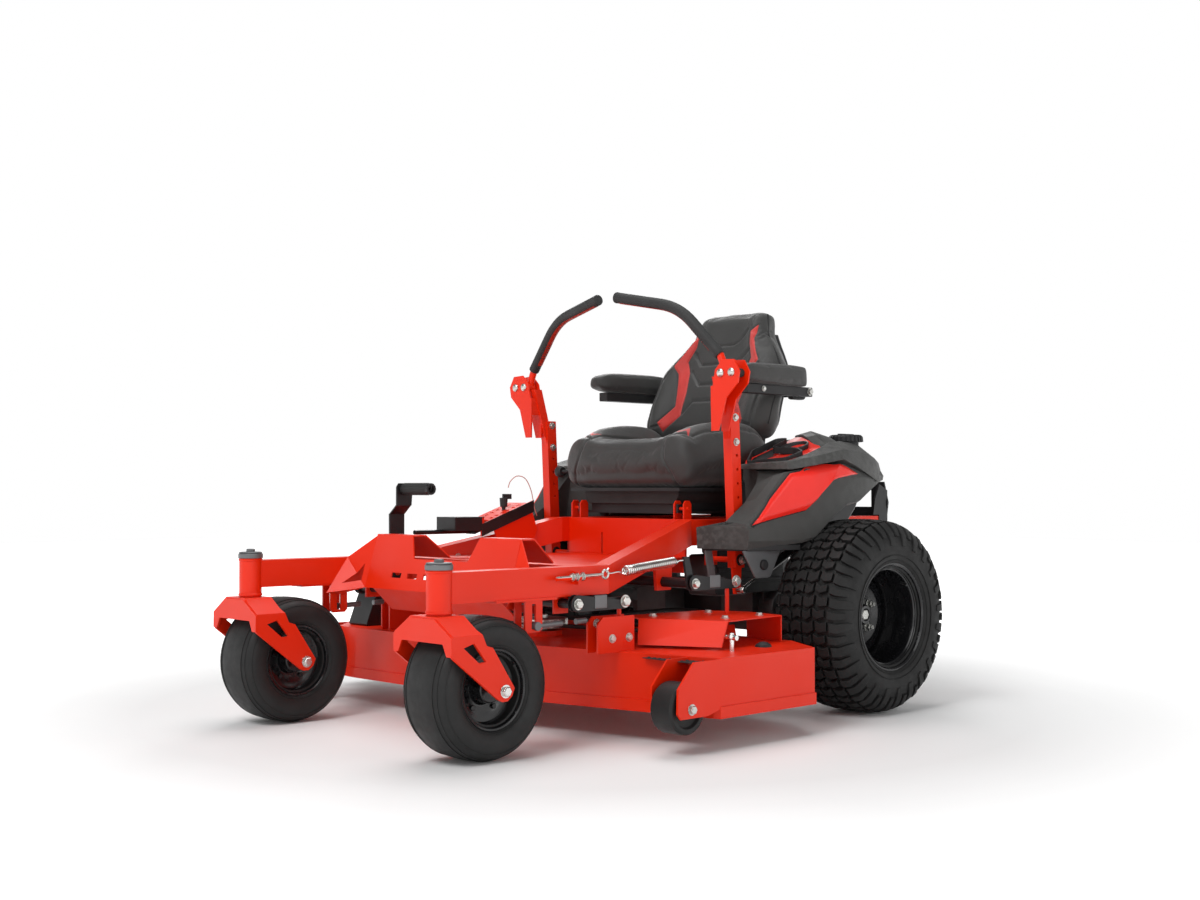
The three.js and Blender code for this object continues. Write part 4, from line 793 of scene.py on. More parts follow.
for i in range(len(outline)):
    j = (i + 1) % len(outline)
    quads = [tray_ring([outline[i], outline[j]], 0.007), tray_ring([inner[i], inner[j]], 0.007)]
    foot = [tray_ring([outline[i], outline[j]], -0.012), tray_ring([inner[i], inner[j]], -0.012)]
    tray.rings([[foot[0][0], foot[0][1], foot[1][1], foot[1][0]], [quads[0][0], quads[0][1], quads[1][1],
                                                                   quads[1][0]]])
floor = [(x, y, z - 0.030) for x, y, z in tray_ring(inner, 0.012)]
tray.rings([[(x, y, z - 0.003) for x, y, z in floor], floor])
piece("tray_rim", tray, "dark_plastic", "chassis", bevel=0, angle=40, stands_for=["console_tray"])
cup = Shape()
lean = Quaternion((1, 0, 0), math.atan(0.33))
section = [(0.0380, 0.004), (0.0400, 0.007), (0.0440, 0.007), (0.0450, 0.003), (0.0430, -0.004), (0.0415, -0.090),
           (0.0375, -0.090)]
rings = []
for i in range(64):
    t = 2 * math.pi * i / 64
    ring = []
    for r, a in section:
        flat = Vector((math.cos(t) * r, math.sin(t) * r, 0))
        tilt = 1.0 if a > -0.05 else 0.0
        ring.append(Vector((0.389, 1.354, 0.768)) + (lean @ flat if tilt else flat) + Vector((0, 0, a)))
    rings.append(ring)
cup.rings(rings, closed=True)
cup.rod((0.389, 1.354, 0.678), (0.389, 1.354, 0.682), 0.0395, 48)
piece("cup_holder", cup, "dark_plastic", "chassis", bevel=0, angle=40)
plate = Shape()
outline = rounded([(-0.294, 1.270), (-0.345, 1.212), (-0.450, 1.245), (-0.472, 1.390), (-0.430, 1.412),
                   (-0.300, 1.404)], 0.012)
level = [(p.x, p.y, console_at(p.x, p.y)) for p in outline]
plate.rings([[(x, y, z - 0.012) for x, y, z in level], [(x, y, z + 0.002) for x, y, z in level]])
slot_line = [(-0.410, y, console_at(0.410, y) + 0.002) for y in (1.292, 1.388)]
piece("control_plate", plate, "dark_plastic", "chassis", bevel=0.002, stands_for=["control_panel"])
slot = Shape().pipe(slot_line, 0.0035, 10)
piece("throttle_slot", slot, "rubber", "chassis", bevel=0)
trim = Shape()
for x, y, r in ((-0.340, 1.290, 0.0125), (-0.340, 1.352, 0.0145), (-0.446, 1.275, 0.022)):
    trim.turned([(r, -0.004), (r, 0.003), (r - 0.002, 0.0045), (r - 0.0035, 0.003), (r - 0.0035, -0.004)],
                (x, y, console_at(x, y) + 0.003), "z", 40)
piece("control_rings", trim, "zinc", "chassis", bevel=0)
gauge = Shape().turned([(0.0005, 0.0), (0.019, 0.0), (0.019, 0.002), (0.0005, 0.003)],
                       (-0.446, 1.275, console_at(0.446, 1.275) + 0.002), "z", 40)
piece("hour_gauge", gauge, "rubber", "chassis", bevel=0)
cap = Shape()
for i in range(24):
    t = 2 * math.pi * i / 24
    u, v = Vector((math.cos(t), math.sin(t), 0)), Vector((-math.sin(t), math.cos(t), 0))
    at = Vector((0.370, 1.633, 0.0))
    cap.rings([[at + u * r + v * w + Vector((0, 0, z)) for w in (-0.0042, 0.0042) for r in (0.040, reach)][:2]
               + [at + u * r + v * 0.0042 + Vector((0, 0, z)) for r in (reach, 0.040)]
               for z, reach in ((0.791, 0.0545), (0.806, 0.0530), (0.8115, 0.0480))])
cap.turned([(0.0005, 0.762), (0.0400, 0.762), (0.0400, 0.790), (0.0510, 0.790), (0.0505, 0.806), (0.0460, 0.8125),
            (0.0300, 0.8125), (0.0280, 0.8105), (0.0005, 0.8105)], (0.370, 1.633, 0.0), "z", 72)
cap.block((0.364, 1.599, 0.8100), (0.376, 1.667, 0.8160))
piece("tank_cap", cap, "dark_plastic", "cap", bevel=0.0008, stands_for=["fuel_cap"])


# ---------------------------------------------------------------- seat
def looped(points, steps):
    """A smooth closed line through the points."""
    p = [Vector(q) for q in points]
    line = []
    for i in range(len(p)):
        a, b, c, d = (p[(i + k) % len(p)] for k in (-1, 0, 1, 2))
        for k in range(steps):
            t = k / steps
            line.append(0.5 * (2 * b + (c - a) * t + (2 * a - 5 * b + 4 * c - d) * t * t
                               + (3 * b - a - 3 * c + d) * t ** 3))
    return line


def lofted(stations, around=5, along=6):
    """A crowned closed form through sections that all have the same number of points."""
    sections = [looped(station, around) for station in stations]
    strands = [spline(list(strand), along) for strand in zip(*sections)]
    return Shape().rings([list(ring) for ring in zip(*strands)])


def mirrored(half):
    """Sections listed from the middle plane out, continued over the other half."""
    return [[(-x, y, z) for x, y, z in section] for section in reversed(half[1:])] + half


# The side of the pad that a seam or inset faces, by axis, and the length of the cloth run
FACING = {1: -1, 2: 1}
CLOTH_FRAMES = 20


def cushion(name, shape, finish, body, stands_for, swell, seams=(), inlays=(), voxel=0.005):
    """A stuffed piece: remeshed, swollen by a short cloth run, then sewn and given its coloured insets."""
    obj = piece(name, shape, finish, body, bevel=0, angle=180, stands_for=stands_for)
    mesh = obj.data
    grid = obj.modifiers.new("grid", "REMESH")
    grid.mode, grid.voxel_size = "VOXEL", voxel
    settle(obj)
    start = coordinates(obj.data)
    cloth = obj.modifiers.new("cloth", "CLOTH")
    cloth.settings.use_pressure = True
    cloth.settings.uniform_pressure_force = 4.0
    cloth.settings.effector_weights.gravity = 0.0
    scene = bpy.context.scene
    for step in range(1, CLOTH_FRAMES + 1):
        scene.frame_set(step)
    settle(obj)
    moved = coordinates(obj.data) - start
    far = np.linalg.norm(moved, axis=1, keepdims=True)
    place(obj.data, start + moved * np.minimum(1.0, swell / np.maximum(far, 1e-9)))
    scene.frame_set(1)
    finer = obj.modifiers.new("finer", "SUBSURF")
    finer.levels = finer.render_levels = 1
    settle(obj)
    mesh = obj.data
    spots = coordinates(mesh)
    normals = np.empty(len(mesh.vertices) * 3)
    mesh.vertex_normals.foreach_get("vector", normals)
    normals = normals.reshape(-1, 3)
    sunk = np.zeros(len(spots))
    for axis, line, depth, width in seams:
        away = distance(spots, axis, line)
        facing = np.clip(abs(normals[:, axis]) * 1.6 - 0.25, 0, 1) * (normals[:, axis] * FACING[axis] > 0)
        sunk = np.maximum(sunk, depth * np.exp(-(away / width) ** 2) * facing)
    place(mesh, spots - normals * sunk[:, None])
    mask = np.full(len(spots), -1.0)
    for axis, outline in inlays:
        facing = normals[:, axis] * FACING[axis] > 0.1
        mask = np.maximum(mask, np.where(facing, inside(spots, axis, outline), -1.0))
    layer = mesh.attributes.new("inlay", "FLOAT", "POINT")
    layer.data.foreach_set("value", mask)
    mesh.shade_smooth()
    return obj


def settle(obj):
    """Turns the modifiers of a piece into its mesh."""
    done = bpy.data.meshes.new_from_object(obj.evaluated_get(bpy.context.evaluated_depsgraph_get()))
    finish = obj.data.materials[0]
    obj.modifiers.clear()
    obj.data = done
    done.materials.clear()
    done.materials.append(finish)


def coordinates(mesh):
    spots = np.empty(len(mesh.vertices) * 3)
    mesh.vertices.foreach_get("co", spots)
    return spots.reshape(-1, 3)


def place(mesh, spots):
    mesh.vertices.foreach_set("co", spots.ravel())
    mesh.update()


def distance(spots, axis, line):
    """How far each point is from a line, seen along the axis."""
    flat = np.delete(spots, axis, axis=1)
    away = np.full(len(flat), 1.0)
    for a, b in zip(line, line[1:]):
        a, b = np.array(a), np.array(b)
        share = np.clip((flat - a) @ (b - a) / ((b - a) @ (b - a)), 0, 1)
        away = np.minimum(away, np.linalg.norm(flat - a - share[:, None] * (b - a), axis=1))
    return away


def inside(spots, axis, outline):
    """The distance to an outline seen along the axis, above zero inside it."""
    flat = np.delete(spots, axis, axis=1)
    away = distance(spots, axis, [*outline, outline[0]])
    within = np.zeros(len(flat), dtype=bool)
    for (ax, ay), (bx, by) in zip(outline, [*outline[1:], outline[0]]):
        crosses = (flat[:, 1] > ay) != (flat[:, 1] > by)
        at = (bx - ax) * (flat[:, 1] - ay) / (by - ay if by != ay else 1e-9) + ax
        within ^= crosses & (flat[:, 0] < at)
    return np.where(within, away, -away)


def both(line):
    return [line, [(-x, other) for x, other in line]]


# Cushion: half width out from the middle, front edge, and the heights of the lip, front, middle, rear and foot
CUSHION = [(0.000, 1.002, 0.790, 0.780, 0.762, 0.757, 0.755, 0.656),
           (0.070, 1.002, 0.790, 0.781, 0.763, 0.758, 0.755, 0.656),
           (0.125, 1.004, 0.793, 0.788, 0.773, 0.766, 0.760, 0.656),
           (0.152, 1.005, 0.799, 0.808, 0.806, 0.798, 0.778, 0.656),
           (0.182, 1.008, 0.806, 0.828, 0.838, 0.832, 0.804, 0.656),
           (0.213, 1.012, 0.806, 0.832, 0.844, 0.838, 0.808, 0.657),
           (0.241, 1.018, 0.794, 0.818, 0.828, 0.822, 0.796, 0.661),
           (0.259, 1.028, 0.768, 0.784, 0.790, 0.786, 0.768, 0.672),
           (0.266, 1.044, 0.738, 0.750, 0.754, 0.752, 0.744, 0.690)]


def cushion_section(x, front, lip, fore, middle, rear, back, foot):
    end = 1.418 - (front - 1.003) * 0.8
    return [(x, front + 0.016, foot + 0.002), (x, front + 0.001, foot + (lip - foot) * 0.30),
            (x, front, foot + (lip - foot) * 0.62), (x, front + 0.014, lip - 0.010), (x, front + 0.042, lip),
            (x, front + 0.120, fore), (x, 1.240, middle), (x, 1.340, rear), (x, end - 0.018, back - 0.004),
            (x, end, foot + (back - foot) * 0.6), (x, end - 0.006, foot + 0.008), (x, 1.300, foot),
            (x, 1.120, foot)]


cushion("seat_cushion_pad", lofted(mirrored([cushion_section(*row) for row in CUSHION])), "vinyl", "seat",
        ["seat_cushion"], 0.006,
        seams=[(2, line, 0.0050, 0.0042) for line in (
            *both([(0.146, 1.400), (0.140, 1.250), (0.143, 1.120), (0.165, 1.045), (0.176, 1.000)]),
            *both([(0.250, 1.360), (0.246, 1.150), (0.236, 1.075), (0.165, 1.045)]))]
        + [(1, line, 0.0045, 0.0040) for line in both([(0.174, 0.770), (0.182, 0.735), (0.206, 0.690),
                                                       (0.214, 0.655)])]
        + [(2, line, 0.0030, 0.0045) for line in (
            [(-0.135, 1.220), (-0.070, 1.255), (0.070, 1.255), (0.135, 1.220)],
            [(-0.138, 1.130), (-0.060, 1.170), (0.060, 1.170), (0.138, 1.130)])],
        inlays=[(2, line) for line in both([(0.232, 1.062), (0.206, 1.098), (0.190, 1.078), (0.158, 1.086),
                                            (0.186, 1.064), (0.206, 1.080)])])

# Back: height, half width, front of the side bolster, rear, and how far the middle lies behind the bolster
BACK = [(0.7990, 0.190, 1.376, 1.446, 0.010), (0.8080, 0.228, 1.356, 1.470, 0.018),
        (0.8450, 0.248, 1.348, 1.486, 0.026), (0.9000, 0.251, 1.366, 1.500, 0.028),
        (0.9600, 0.250, 1.394, 1.520, 0.028), (1.0200, 0.241, 1.422, 1.545, 0.028),
        (1.0600, 0.214, 1.442, 1.562, 0.026), (1.1000, 0.178, 1.462, 1.580, 0.022),
        (1.1400, 0.148, 1.482, 1.594, 0.016), (1.1800, 0.136, 1.500, 1.602, 0.010),
        (1.2040, 0.127, 1.515, 1.600, 0.008), (1.2170, 0.104, 1.535, 1.588, 0.004)]


def back_section(z, half, front, rear, hollow):
    right = [(0.0, front + hollow), (half * 0.42, front + hollow), (half * 0.60, front + hollow * 0.8),
             (half * 0.78, front + 0.003), (half * 0.92, front + 0.006), (half, front + (rear - front) * 0.34),
             (half * 0.985, front + (rear - front) * 0.74), (half * 0.86, rear - 0.006), (half * 0.45, rear),
             (0.0, rear)]
    left = [(-x, y) for x, y in reversed(right[1:-1])]
    return [(x, y, z) for x, y in right + left]


STRIPE = [(0.128, 1.168), (0.132, 1.125), (0.158, 1.082), (0.180, 1.052), (0.157, 1.022), (0.134, 0.914),
          (0.180, 0.862), (0.163, 0.830), (0.102, 0.882), (0.106, 0.957), (0.118, 1.024), (0.134, 1.060),
          (0.112, 1.108), (0.108, 1.150)]
cushion("seat_back_pad", lofted([back_section(*row) for row in BACK], 5, 6), "vinyl", "seat", ["seat_back"],
        0.006,
        seams=[(1, line, 0.0045, 0.0040) for line in (
            [(-0.100, 1.214), (-0.097, 1.160), (-0.062, 1.118), (-0.040, 1.108), (0.040, 1.108), (0.062, 1.118),
             (0.097, 1.160), (0.100, 1.214)],
            *both([(0.185, 1.040), (0.226, 0.985), (0.216, 0.842), (0.172, 0.852)]))]
        + [(1, line, 0.0060, 0.0055) for line in (
            [(-0.116, 1.090), (-0.078, 1.048), (0.078, 1.048), (0.116, 1.090)],
            [(-0.106, 1.026), (-0.062, 0.982), (0.062, 0.982), (0.106, 1.026)],
            [(-0.098, 0.888), (-0.068, 0.928), (0.068, 0.928), (0.098, 0.888)])]
        + [(1, line, 0.0030, 0.0030) for line in both([*STRIPE, STRIPE[0]])],
        inlays=[(1, line) for line in both(STRIPE)])
shell = lofted([back_section(z, half * 0.90, rear - 0.030, rear + 0.012, 0.004)
                for z, half, front, rear, hollow in BACK[1:9]], 4, 4)
piece("seat_back_shell", shell, "dark_plastic", "seat", bevel=0, angle=70)
welts = Shape()
for s in (1, -1):
    welts.pipe(spline([(s * half * 1.002, front + (rear - front) * 0.40, z)
                       for z, half, front, rear, hollow in BACK[2:11]], 6), 0.0024, 8)
piece("seat_back_welts", welts, "seam", "seat", bevel=0)
box = Shape().plate("y", rounded([(-0.185, 0.600), (0.185, 0.600), (0.200, 0.625), (0.200, 0.650), (-0.200, 0.650),
                                  (-0.200, 0.625)], 0.008), 1.052, 1.380)
piece("seat_bellows", box, "rubber", "seat", bevel=0.003)
knob = Shape().rod((-0.262, 1.040, 0.700), (-0.284, 1.034, 0.699), 0.0060, 16)
knob.turned([(0.0005, 0.0), (0.0150, 0.0), (0.0175, 0.004), (0.0175, 0.018), (0.0140, 0.024), (0.0005, 0.024)],
            (-0.306, 1.034, 0.699), "x", 28)
piece("seat_knob", knob, "dark_plastic", "seat", bevel=0.001)


def armrest(side, q):
    body = f"armrest_body_{side}"
    rows = [(1.186, 0.010, 0.984, 0.996), (1.192, 0.024, 0.975, 1.004), (1.215, 0.033, 0.968, 1.014),
            (1.260, 0.035, 0.963, 1.019), (1.380, 0.035, 0.960, 1.021), (1.470, 0.034, 0.960, 1.020),
            (1.492, 0.030, 0.962, 1.017), (1.500, 0.016, 0.972, 1.006)]
    sections = []
    for y, half, low, high in rows:
        middle = 0.300
        sections.append([(middle - half, y, low + 0.004), (middle - half * 0.9, y, high - 0.006),
                         (middle - half * 0.5, y, high), (middle, y, high + 0.001), (middle + half * 0.5, y, high),
                         (middle + half * 0.9, y, high - 0.006), (middle + half, y, low + 0.004),
                         (middle + half * 0.6, y, low), (middle, y, low), (middle - half * 0.6, y, low)])
    shape = lofted(sections, 4, 5)
    shape.points = [Vector((q * p.x, p.y, p.z)) for p in shape.points]
    cushion(f"armrest_pad_{side}", shape, "vinyl", body, [f"armrest_{side}"], 0.002, voxel=0.004,
            seams=[(2, [(q * 0.300, 1.215), (q * 0.300, 1.480)], 0.0, 0.004)])
    bar = Shape().block((0.282, 1.226, 0.930), (0.318, 1.535, 0.9585))
    bar.plate("x", rounded([(1.480, 0.922), (1.545, 0.922), (1.552, 0.960), (1.480, 0.960)], 0.012), 0.262, 0.282)
    piece(f"armrest_bar_{side}", bar, "dark_plastic", body, side=q, bevel=0.003)
    pivot = Shape().rod((0.246, 1.521, 0.947), (0.290, 1.521, 0.947), 0.0080, 20)
    pivot.bolt((0.318, 1.521, 0.945), (1, 0, 0), 0.0085, 0.006)
    pivot.bolt((0.318, 1.300, 0.945), (1, 0, 0), 0.0060, 0.004)
    piece(f"armrest_bolts_{side}", pivot, "zinc", body, side=q, bevel=0.0005)


for side, q in SIDES:
    armrest(side, q)


# ---------------------------------------------------------------- engine
AFT = Vector((0.0, 1.710, 0.0))


def finned(x0, x1, y0, y1, z0, z1, count):
    """A barrel with cooling fins stacked along x."""
    fins = Shape().block((x0, y0 + 0.014, z0 + 0.014), (x1, y1 - 0.014, z1 - 0.014))
    pitch = (x1 - x0) / count
    for i in range(count):
        fins.block((x0 + pitch * (i + 0.25), y0, z0), (x0 + pitch * (i + 0.65), y1, z1))
    return fins


crank = Shape().plate("z", rounded([(-0.130, 1.595), (0.130, 1.595), (0.134, 1.700), (0.110, 1.836),
                                    (-0.110, 1.836), (-0.134, 1.700)], 0.020), 0.476, 0.640)
crank.rod(AFT + Vector((0, 0, 0.636)), AFT + Vector((0, 0, 0.690)), 0.118, 48)
piece("engine_case", crank, "cast", "chassis", bevel=0.005, stands_for=["engine"])
for side, q in SIDES:
    piece(f"cylinder_{side}", finned(0.110, 0.200, 1.560, 1.680, 0.560, 0.672, 9), "cast", "chassis", side=q,
          bevel=0.001)
    cover = Shape().block((0.198, 1.572, 0.572), (0.2075, 1.668, 0.660))
    for y in (1.582, 1.658):
        for z in (0.582, 0.650):
            cover.bolt((0.2070, y, z), (1, 0, 0), 0.0045, 0.0015, washer=False)
    piece(f"valve_cover_{side}", cover, "zinc", "chassis", side=q, bevel=0.0015)
shroud = Shape().turned([(0.118, 0.688), (0.171, 0.688), (0.172, 0.748), (0.164, 0.758), (0.150, 0.763),
                         (0.118, 0.763)], AFT, "z", 80)
piece("blower_shroud", shroud, "dark_plastic", "chassis", bevel=0.002)
screen = Shape().turned([(0.0005, 0.764), (0.112, 0.764), (0.116, 0.770), (0.112, 0.782), (0.098, 0.788),
                         (0.0005, 0.788)], AFT, "z", 72)
piece("blower_screen", screen, "rim", "chassis", bevel=0.001)
guard = Shape()
for radius in (0.030, 0.052, 0.074, 0.096, 0.112):
    loop = circle(AFT + Vector((0, 0, 0.7895)), Vector((1, 0, 0)), Vector((0, 1, 0)), radius, 56)
    guard.pipe([*loop, loop[0]], 0.0016, 6)
for i in range(6):
    t = math.pi * i / 3
    ray = Vector((math.cos(t), math.sin(t), 0))
    guard.rod(AFT + ray * 0.030 + Vector((0, 0, 0.7895)), AFT + ray * 0.114 + Vector((0, 0, 0.7895)), 0.0018, 6)
piece("blower_guard", guard, "grey_steel", "chassis", bevel=0)
cleaner = Shape().turned([(0.0005, 0.0), (0.058, 0.0), (0.062, 0.006), (0.062, 0.150), (0.058, 0.158),
                          (0.050, 0.162), (0.0005, 0.162)], (-0.060, 1.590, 0.705), "y", 56)
for y in (0.030, 0.128):
    cleaner.turned([(0.0610, y), (0.0640, y + 0.002), (0.0640, y + 0.008), (0.0610, y + 0.010)],
                   (-0.060, 1.590, 0.705), "y", 56)
piece("air_cleaner", cleaner, "dark_plastic", "chassis", bevel=0.001)
muffler = Shape().turned([(0.0005, -0.148), (0.036, -0.148), (0.043, -0.142), (0.044, -0.120), (0.044, 0.120),
                          (0.043, 0.142), (0.036, 0.148), (0.0005, 0.148)], (0, 1.846, 0.532), "x", 56)
for x in (-0.092, 0.0, 0.092):
    muffler.turned([(0.0435, x - 0.006), (0.0460, x - 0.004), (0.0460, x + 0.004), (0.0435, x + 0.006)],
                   (0, 1.846, 0.532), "x", 56)
muffler.pipe(softened([(0.120, 1.846, 0.532), (0.120, 1.884, 0.522), (0.128, 1.892, 0.500)], 0.02), 0.014, 20)
piece("muffler", muffler, "grey_steel", "chassis", bevel=0.001)
sump = Shape().turned([(0.0005, 0.0), (0.034, 0.0), (0.037, 0.004), (0.037, 0.070), (0.031, 0.080), (0.0005, 0.080)],
                      (-0.070, 1.525, 0.540), "y", 40)
piece("oil_filter", sump, "black", "chassis", bevel=0.001)
leads = Shape()
leads.pipe(spline([(0.05, 1.600, 0.660), (0.12, 1.575, 0.690), (0.17, 1.600, 0.690), (0.196, 1.625, 0.640)]), 0.0038, 10)
leads.pipe(spline([(-0.05, 1.600, 0.660), (-0.12, 1.575, 0.680), (-0.17, 1.600, 0.690), (-0.196, 1.625, 0.640)]),
           0.0038, 10)
leads.pipe(spline([(0.300, 1.600, 0.640), (0.250, 1.590, 0.610), (0.180, 1.570, 0.560), (0.110, 1.585, 0.560)]),
           0.0048, 10)
piece("engine_leads", leads, "rubber", "chassis", bevel=0)
studs = Shape()
for x, y in ((0.150, 1.600), (-0.150, 1.600), (0.160, 1.760), (-0.160, 1.760)):
    studs.bolt((x, y + 0.0, 0.7615), (0, 0, 1), 0.0055, 0.005)
piece("shroud_bolts", studs, "zinc", "chassis", bevel=0.0004)


# ---------------------------------------------------------------- deck lift
def lift_side(side, q):
    coil = []
    turns, start, end = 26, Vector((0.466, 0.566, 0.433)), Vector((0.466, 0.750, 0.450))
    along = (end - start).normalized()
    u, v = basis(along)
    for i in range(turns * 14 + 1):
        t = 2 * math.pi * i / 14
        coil.append(start + (end - start) * (i / (turns * 14)) + (u * math.cos(t) + v * math.sin(t)) * 0.0112)
    hook = [coil[0], start - along * 0.008 + v * 0.006, start - along * 0.022,
            start - along * 0.052, start - along * 0.064 - v * 0.007, start - along * 0.056 - v * 0.014]
    tail = [coil[-1], end + along * 0.008 + v * 0.006, end + along * 0.018, end + along * 0.036]
    spring = Shape().pipe(spline(hook, 4), 0.0026, 8).pipe(coil, 0.0026, 8).pipe(spline(tail, 4), 0.0026, 8)
    piece(f"assist_coil_{side}", spring, "steel", f"assist_spring_{side}", side=q, bevel=0,
          stands_for=[f"lift_spring_{side}"])
    eye = Shape().rod((0.466, 0.330, 0.4235), (0.466, 0.488, 0.4270), 0.0040, 16)
    ring = [Vector((0.466, 0.497 + math.cos(t) * 0.0105, 0.4272 + math.sin(t) * 0.0105))
            for t in (2 * math.pi * i / 24 for i in range(24))]
    eye.pipe([*ring, ring[0]], 0.0033, 10)
    for y in (0.385, 0.400, 0.420):
        eye.bolt((0.466, y, 0.4245), (0, -1, 0), 0.0075, 0.006)
    piece(f"eyebolt_{side}", eye, "zinc", "chassis", side=q, bevel=0.0004)
    link = Shape().rod((0.438, 0.283, 0.307), (0.438, 0.372, 0.309), 0.0075, 20)
    link.rod((0.438, 0.420, 0.310), (0.438, 0.455, 0.311), 0.0075, 20)
    link.rod((0.424, 0.283, 0.307), (0.452, 0.283, 0.307), 0.0110, 20)
    piece(f"drag_link_{side}", link, "grey_steel", "deck", side=q, bevel=0.0006)


for side, q in SIDES:
    lift_side(side, q)


# ---------------------------------------------------------------- deck
def scalp_wheel(side, q, y):
    wheel = Shape().turned([(0.0075, -0.0350), (0.0200, -0.0350), (0.0220, -0.0260), (0.0450, -0.0260),
                            (0.0480, -0.0350), (0.0580, -0.0360), (0.0628, -0.0310), (0.0635, -0.0220),
                            (0.0635, 0.0220), (0.0628, 0.0310), (0.0580, 0.0360), (0.0480, 0.0350),
                            (0.0450, 0.0260), (0.0220, 0.0260), (0.0200, 0.0350), (0.0075, 0.0350)],
                           (0.711, y, 0.113), "x", 64)
    piece(f"scalp_wheel_{side}", wheel, "smooth_tyre", f"anti_scalp_{side}", side=q, bevel=0.001,
          stands_for=[f"anti_scalp_wheel_{side}"])
    axle = Shape().bolt((0.758, y, 0.113), (1, 0, 0), 0.0095, 0.008)
    axle.bolt((0.6635, y, 0.113), (-1, 0, 0), 0.0095, 0.008)
    piece(f"scalp_bolt_{side}", axle, "zinc", "deck", side=q, bevel=0.0005)


scalp_wheel("left", 1, 0.505)
scalp_wheel("right", -1, 0.405)


def deck_side(side, q):
    x, y = 0.485, 0.818
    pulley = Shape().turned([(0.0135, 0.249), (0.0560, 0.249), (0.0690, 0.252), (0.0690, 0.255), (0.0580, 0.263),
                             (0.0690, 0.271), (0.0690, 0.274), (0.0560, 0.277), (0.0135, 0.277)], (x, y, 0), "z", 64)
    piece(f"deck_pulley_{side}", pulley, "grey_steel", f"blade_{side}", side=q, bevel=0.0005)
    bolts = Shape()
    for px, py in ((0.380, 0.760), (0.560, 0.850), (0.400, 0.960), (0.560, 0.990)):
        bolts.bolt((px, py, 0.300), (0, 0, 1), 0.0085, 0.006)
    for py in (0.520, 0.580):
        bolts.bolt((0.468, py, 0.262), (1, 0, 0), 0.0080, 0.006)
    bolts.bolt((0.430, 0.500, 0.300), (1, 0, 0), 0.0080, 0.006)
    piece(f"deck_bolts_{side}", bolts, "zinc", "deck", side=q, bevel=0.0005)
    post = Shape().turned([(0.0005, 0.0), (0.0120, 0.0), (0.0120, 0.008), (0.0065, 0.010), (0.0065, 0.040),
                           (0.0110, 0.042), (0.0110, 0.050), (0.0065, 0.052), (0.0065, 0.056), (0.0005, 0.057)],
                          (0.660, 0.762, 0.218), "z", 32)
    post.turned([(0.0005, 0.0), (0.0070, 0.0), (0.0070, 0.036), (0.0005, 0.036)], (0.642, 0.762, 0.262), "x", 20)
    piece(f"deck_post_{side}", post, "steel", "deck", side=q, bevel=0.0006)
    dome = Shape().turned([(0.0005, 0.0), (0.0240, 0.0), (0.0240, 0.006), (0.0200, 0.016), (0.0100, 0.022),
                           (0.0005, 0.024)], (0.650, 0.900, 0.218), "z", 40)
    piece(f"deck_plug_{side}", dome, "dark_plastic", "deck", side=q, bevel=0.0004)


for side, q in SIDES:
    deck_side(side, q)
belt = Shape()
loop = softened([(0.0, 0.634), (0.500, 0.752), (0.551, 0.830), (0.490, 0.884), (0.060, 0.800), (0.060, 1.330),
                 (-0.060, 1.330), (-0.060, 0.800), (-0.490, 0.884), (-0.551, 0.830), (-0.500, 0.752), (0.0, 0.634)],
                0.060, 5)
line = [Vector((p[0], p[1], 0.263)) for p in loop]
belt.pipe(line, 0.0055, 8)
piece("deck_belt", belt, "rubber", "deck", bevel=0)
pad = Shape()
for row in range(10):
    for column in range(7):
        x, y = 0.560 + row * 0.0190, 0.560 + column * 0.0190
        if x < 0.748:
            pad.rod((x, y, 0.2175), (x, y, 0.2205), 0.0050, 8, 0.0036)
pad.block((0.548, 0.548, 0.2165), (0.748, 0.688, 0.2185))
piece("deck_tread_pad", pad, "rubber", "deck", bevel=0.0006)
centre = Shape().turned([(0.0135, 0.249), (0.0560, 0.249), (0.0690, 0.252), (0.0690, 0.255), (0.0580, 0.263),
                         (0.0690, 0.271), (0.0690, 0.274), (0.0560, 0.277), (0.0135, 0.277)], (0, 0.700, 0), "z", 64)
piece("deck_pulley_centre", centre, "grey_steel", "blade_centre", bevel=0.0005)


# ---------------------------------------------------------------- front and controls
sleeve = Shape().turned([(0.0005, -0.136), (0.0150, -0.136), (0.0170, -0.132), (0.0170, -0.010), (0.0150, -0.004),
                         (0.0005, -0.004)], (-0.205, 0.455, 0.644), "x", 40)
for i in range(12):
    t = 2 * math.pi * i / 12
    out = Vector((0, math.cos(t), math.sin(t))) * 0.0168
    sleeve.rod(Vector((-0.334, 0.455, 0.644)) + out, Vector((-0.216, 0.455, 0.644)) + out, 0.0011, 6)
piece("pedal_sleeve", sleeve, "rubber", "pedal", bevel=0)
end = Shape().turned([(0.0005, 0.0), (0.0135, 0.0), (0.0135, 0.003), (0.0110, 0.004), (0.0005, 0.004)],
                     (-0.209, 0.455, 0.644), "x", 32)
piece("pedal_end", end, "steel", "pedal", bevel=0.0005)
wire = [(-0.316, 0.836, 0.648), (-0.312, 0.842, 0.668), (-0.304, 0.862, 0.684), (-0.298, 0.890, 0.676),
        (-0.296, 0.912, 0.640), (-0.296, 0.925, 0.590), (-0.298, 0.938, 0.561)]
piece("pin_lanyard", Shape().pipe(spline(wire, 8), 0.0014, 10), "wire", "chassis", bevel=0,
                stands_for=["lanyard_wire"])
head = Shape()
for x, y, z, axis in ((0.3135, 0.640, 0.440, (1, 0, 0)), (0.3135, 0.760, 0.470, (1, 0, 0)),
                      (-0.3135, 0.640, 0.440, (-1, 0, 0)), (-0.3135, 0.760, 0.470, (-1, 0, 0))):
    head.bolt((x, y, z), axis, 0.0085, 0.006)
for x in (-0.180, 0.180):
    head.bolt((x, 0.345, 0.470), (0, -1, 0), 0.0050, 0.004)
